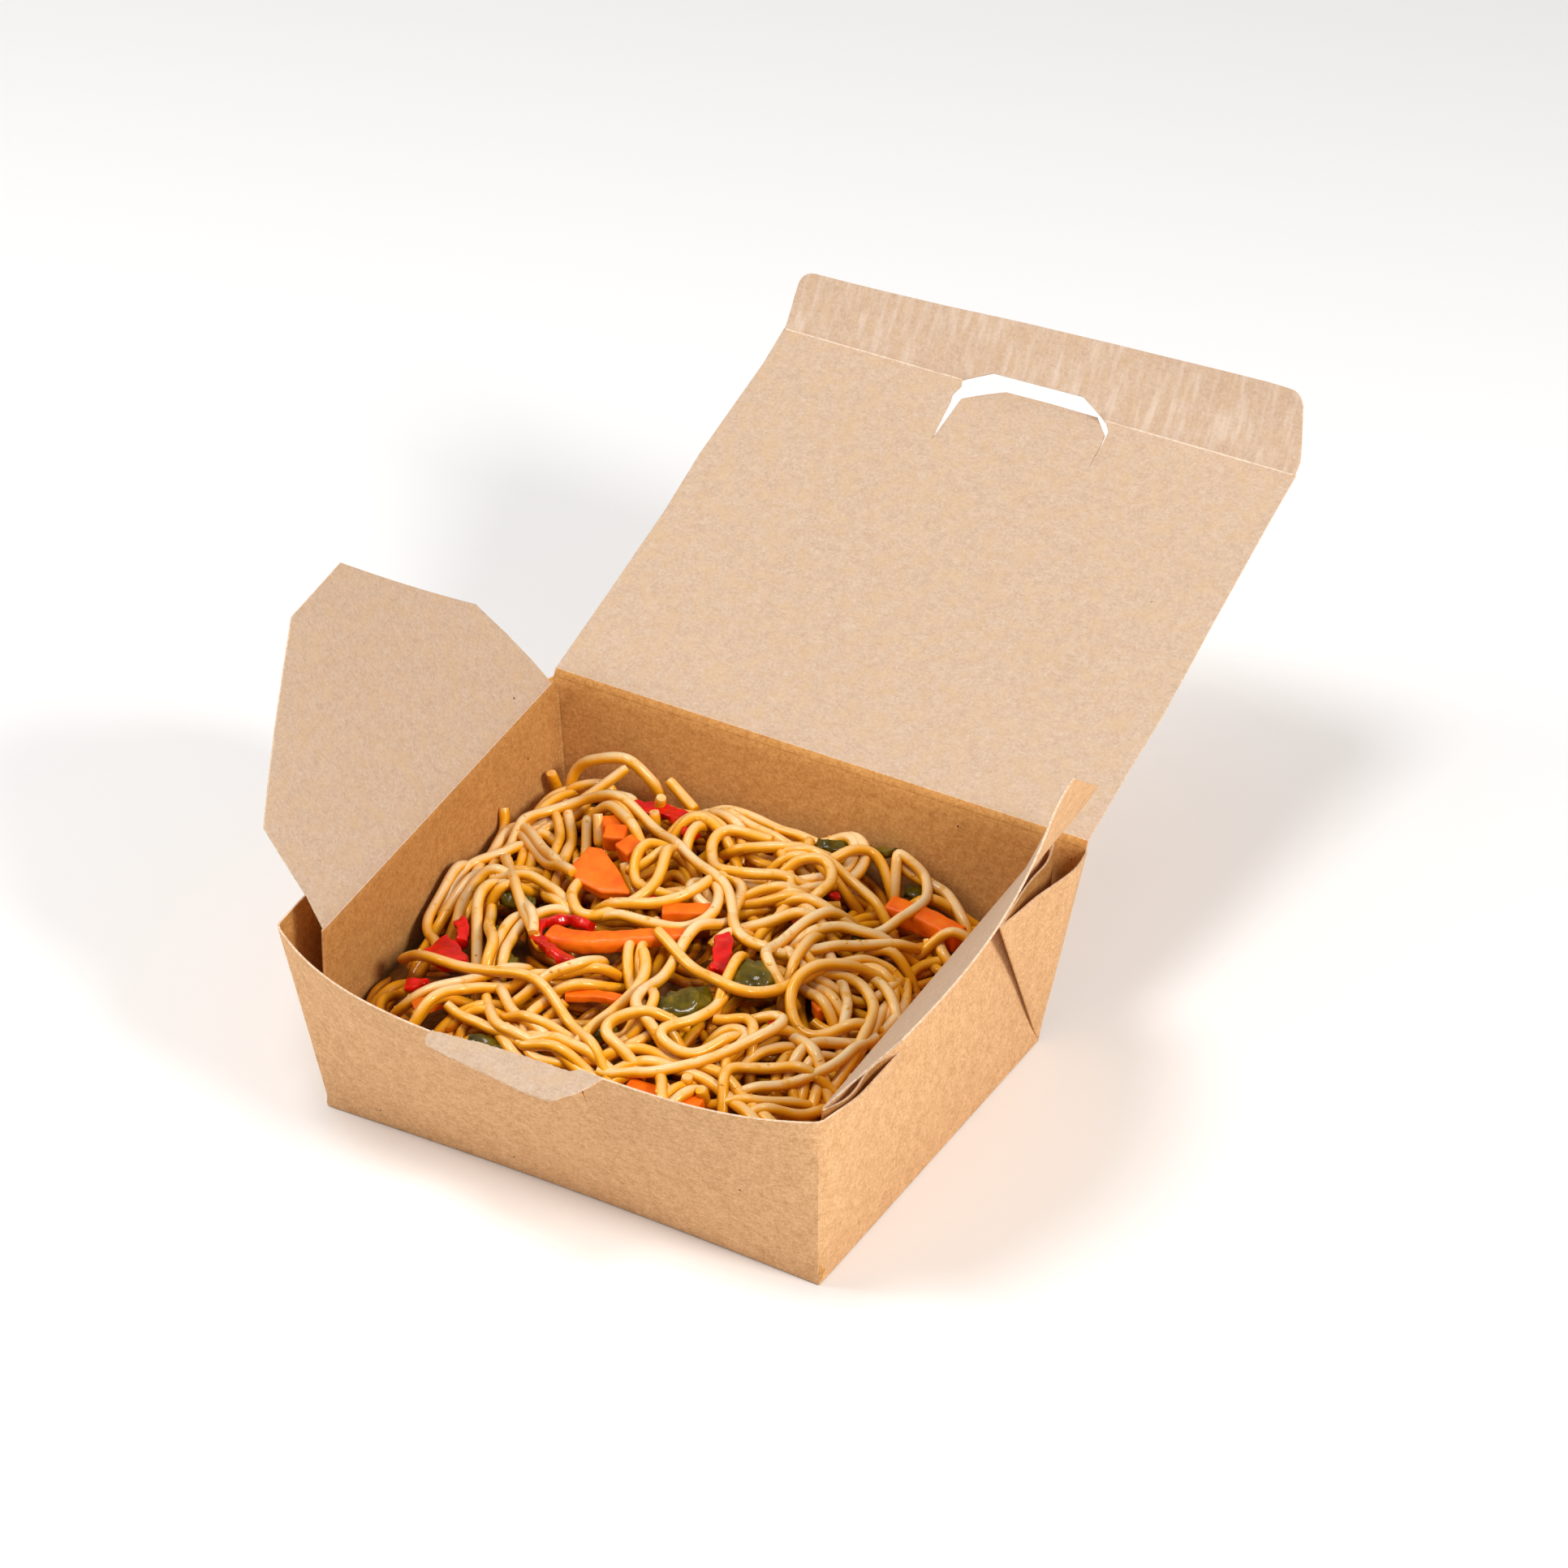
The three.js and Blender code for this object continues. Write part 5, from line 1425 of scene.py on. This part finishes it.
crumb_growth = growth_tree("crumb_growth", {
    "Density": "NodeSocketFloat", "Size": "NodeSocketFloat", "Seed": "NodeSocketInt",
    "Material": "NodeSocketMaterial"})
tree, given, result, _ = crumb_growth
on_top = put(tree, "FunctionNodeCompare", {0: facing_up(tree), 1: 0.35}, operation="GREATER_THAN")
clump = put(tree, "ShaderNodeTexNoise", {"Scale": 110.0, "Detail": 2.0}).outputs[0]
spots = put(tree, "GeometryNodeDistributePointsOnFaces", {
    "Mesh": given["Geometry"], "Selection": on_top.outputs[0], "Seed": given["Seed"],
    "Density": maths(tree, "MULTIPLY", steps(tree, clump, 0.48, 0.66), given["Density"])})
crumb = put(tree, "GeometryNodeMeshIcoSphere", {"Radius": given["Size"], "Subdivisions": 2})
odd_size = put(tree, "FunctionNodeRandomValue", {
    0: (0.5, 0.5, 0.25), 1: (1.7, 1.1, 0.7), "Seed": given["Seed"]}, data_type="FLOAT_VECTOR")
strewn = put(tree, "GeometryNodeInstanceOnPoints", {
    "Points": spots.outputs["Points"], "Instance": crumb.outputs[0],
    "Rotation": spots.outputs["Rotation"], "Scale": odd_size.outputs[0]})
finish_tree(tree, strewn.outputs[0], given["Material"], result)

# %% [markdown]
# Boiled noodle is pale gold and a little see-through, with an oily shine. Each strand has its own tone,
# stored on its line, because no two take up the sauce alike. The same stored value also carries painted
# shade: it darkens strands that lie deeper under the heap's surface and those in the lower layers. The
# strands' sides and undersides are painted darker and more orange as shade too. Sauce gathers on them
# in yellow patches.

# %% Noodle finish
noodle_dough, tree, shader = new_material("noodle_dough", (0.8, 0.55, 0.25), {
    "Roughness": 0.36, "Specular IOR Level": 0.35, "Specular Tint": (1.0, 0.82, 0.45, 1),
    "Coat Weight": 0.35, "Coat Roughness": 0.06, "Subsurface Weight": 0.10, "Subsurface Scale": 0.0015})
tone_and_depth_shade, underside_shade = (put(tree, "ShaderNodeAttribute", attribute_name=label).outputs["Fac"]
                       for label in ("tone", "underside_shade"))
place = object_place(tree)
shade_and_tone = maths(tree, "MULTIPLY_ADD", cloudy(tree, place, 120.0, 3.0), 0.9, tone_and_depth_shade)
# Sides and undersides are painted darker and more orange: painted shade.
shade_and_tone = maths(tree, "MULTIPLY_ADD", underside_shade, 1.1, shade_and_tone)
dough = blend_colour(tree, steps(tree, shade_and_tone, 0.45, 1.3), (0.83, 0.63, 0.36), (0.87, 0.385, 0.007))
dough = blend_colour(tree, steps(tree, shade_and_tone, 1.25, 2.4), dough, (0.40, 0.085, 0.0005))
sauce = cloudy(tree, place, 330.0, 4.0, 0.6)
dough = blend_colour(tree, steps(tree, sauce, 0.58, 0.72), dough, (0.78, 0.35, 0.012))
paint(tree, shader, dough, cloudy(tree, place, 900.0, 2.0), 0.28, 0.0003)
# The core's near-black brown is painted shade, seen through the gaps between strands.
core_shade_finish = food_finish("core_painted_shade", (0.07, 0.018, 0.002), (0.15, 0.05, 0.004), 0.5, 0.3, 3.0)
crumb_finish = food_finish("sauce_crumb", (0.70, 0.27, 0.02), (0.88, 0.45, 0.05), 0.4, 0.5, 1.0)

# %% Grow the noodles
TONE_RANGE, SUNK_SHADE, END_GIRTH = 0.45, 1.1, 0.86


def strand_lines(name, paths, spacing, layer_shade):
    """Lines for the tree to thicken, with each strand's tone and its girth along it. The stored tone also
    holds painted shade for strands that lie deep or in a lower layer.
    """
    points, links, tones, girths = [], [], [], []
    for path in paths:
        count = max(4, round(len(path) / spacing))
        line = resampled(path, np.arange(len(path)), np.linspace(0, len(path) - 1, count))
        first = len(points)
        points += line.tolist()
        links += [(first + k, first + k + 1) for k in range(count - 1)]
        # How far a strand lies below the heap's surface; it darkens the strand as painted shade.
        sunk = np.clip((heap(line[:, 0], line[:, 1]) + 1.5 - line[:, 2]) / 8, 0, 1.2)
        tones += (layer_shade + chance.random() * TONE_RANGE + SUNK_SHADE * sunk).tolist()
        size = chance.uniform(0.94, 1.06)
        girths += [END_GIRTH * size] + [size] * (count - 2) + [END_GIRTH * size]
    mesh = bpy.data.meshes.new(name)
    mesh.from_pydata((np.array(points) * MM).tolist(), links, [])
    for label, values in (("tone", tones), ("girth", girths)):
        mesh.attributes.new(label, "FLOAT", "POINT").data.foreach_set("value", values)
    return mesh


def grow_noodles(name, paths, spacing, sides, seed, layer_shade=0.0):
    return grown(name, strand_lines(name + "_lines", paths, spacing, layer_shade), strand_growth, {
        "Thickness": NOODLE * MM, "Sides": sides, "Unevenness": 0.12, "Seed": seed,
        "Material": noodle_dough})


# The last number darkens a whole layer, the lowest most: painted shade.
noodle_pieces = [
    grow_noodles("noodles_under", under_noodles, 1.5, 10, 1.0, 0.2),
    grow_noodles("noodles_around", over_noodles, 1.25, 12, 2.0, 0.1),
    grow_noodles("noodles_on_top", hand_laid, 1.1, 14, 3.0),
]
crumbs = [
    grown(f"sauce_crumbs_{k}", noodle_pieces[k + 1].data, crumb_growth, {
        "Density": density, "Size": 0.0005, "Seed": 5 + k, "Material": crumb_finish})
    for k, density in enumerate((45000.0, 50000.0))]

# %% The core below the noodles
# A dark sheet below the noodles, which paints the shade in the gaps between them.
CORE_COLUMNS, CORE_ROWS, CORE_LEVEL, CORE_DEPTH, CORE_FLOOR = 61, 49, 0.38, 7.0, 1.2
core_u, core_v = np.meshgrid(np.linspace(0, 1, CORE_COLUMNS), np.linspace(0, 1, CORE_ROWS))


def across_tray(corners):
    """An even grid between four corners, given as the two in front and then the two at the back."""
    front_left, front_right, back_left, back_right = corners
    return mix(mix(front_left, front_right, core_u), mix(back_left, back_right, core_u), core_v)[..., :2]


top_grid = across_tray([mix(FOOT[corner], CREASE[corner], CORE_LEVEL) for corner in FOOT]) * 0.985
upper_points = np.dstack([top_grid, heap(top_grid[..., 0], top_grid[..., 1]) - CORE_DEPTH]).reshape(-1, 3)
lower_grid = across_tray(FOOT.values()) * 0.975
lower_points = np.dstack([lower_grid, np.full(core_u.shape, CORE_FLOOR)]).reshape(-1, 3)
index = np.arange(CORE_ROWS * CORE_COLUMNS).reshape(CORE_ROWS, CORE_COLUMNS)
quads = np.stack([index[:-1, :-1], index[:-1, 1:], index[1:, 1:], index[1:, :-1]], -1).reshape(-1, 4)
rim = np.concatenate([index[0, :-1], index[:-1, -1], index[-1, :0:-1], index[:0:-1, 0]])
next_rim = np.roll(rim, -1)
skirt = np.stack([rim + index.size, next_rim + index.size, next_rim, rim], 1)
faces = [*quads.tolist(), *(quads[:, ::-1] + index.size).tolist(), *skirt.tolist()]
core = new_piece("noodle_core", np.vstack([upper_points, lower_points]), faces, [core_shade_finish])

for piece in (*noodle_pieces, *crumbs, core):
    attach(piece, "tray")
    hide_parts("noodles")
    print(piece.name, "triangles:", sum(len(p.vertices) - 2 for p in piece.data.polygons))
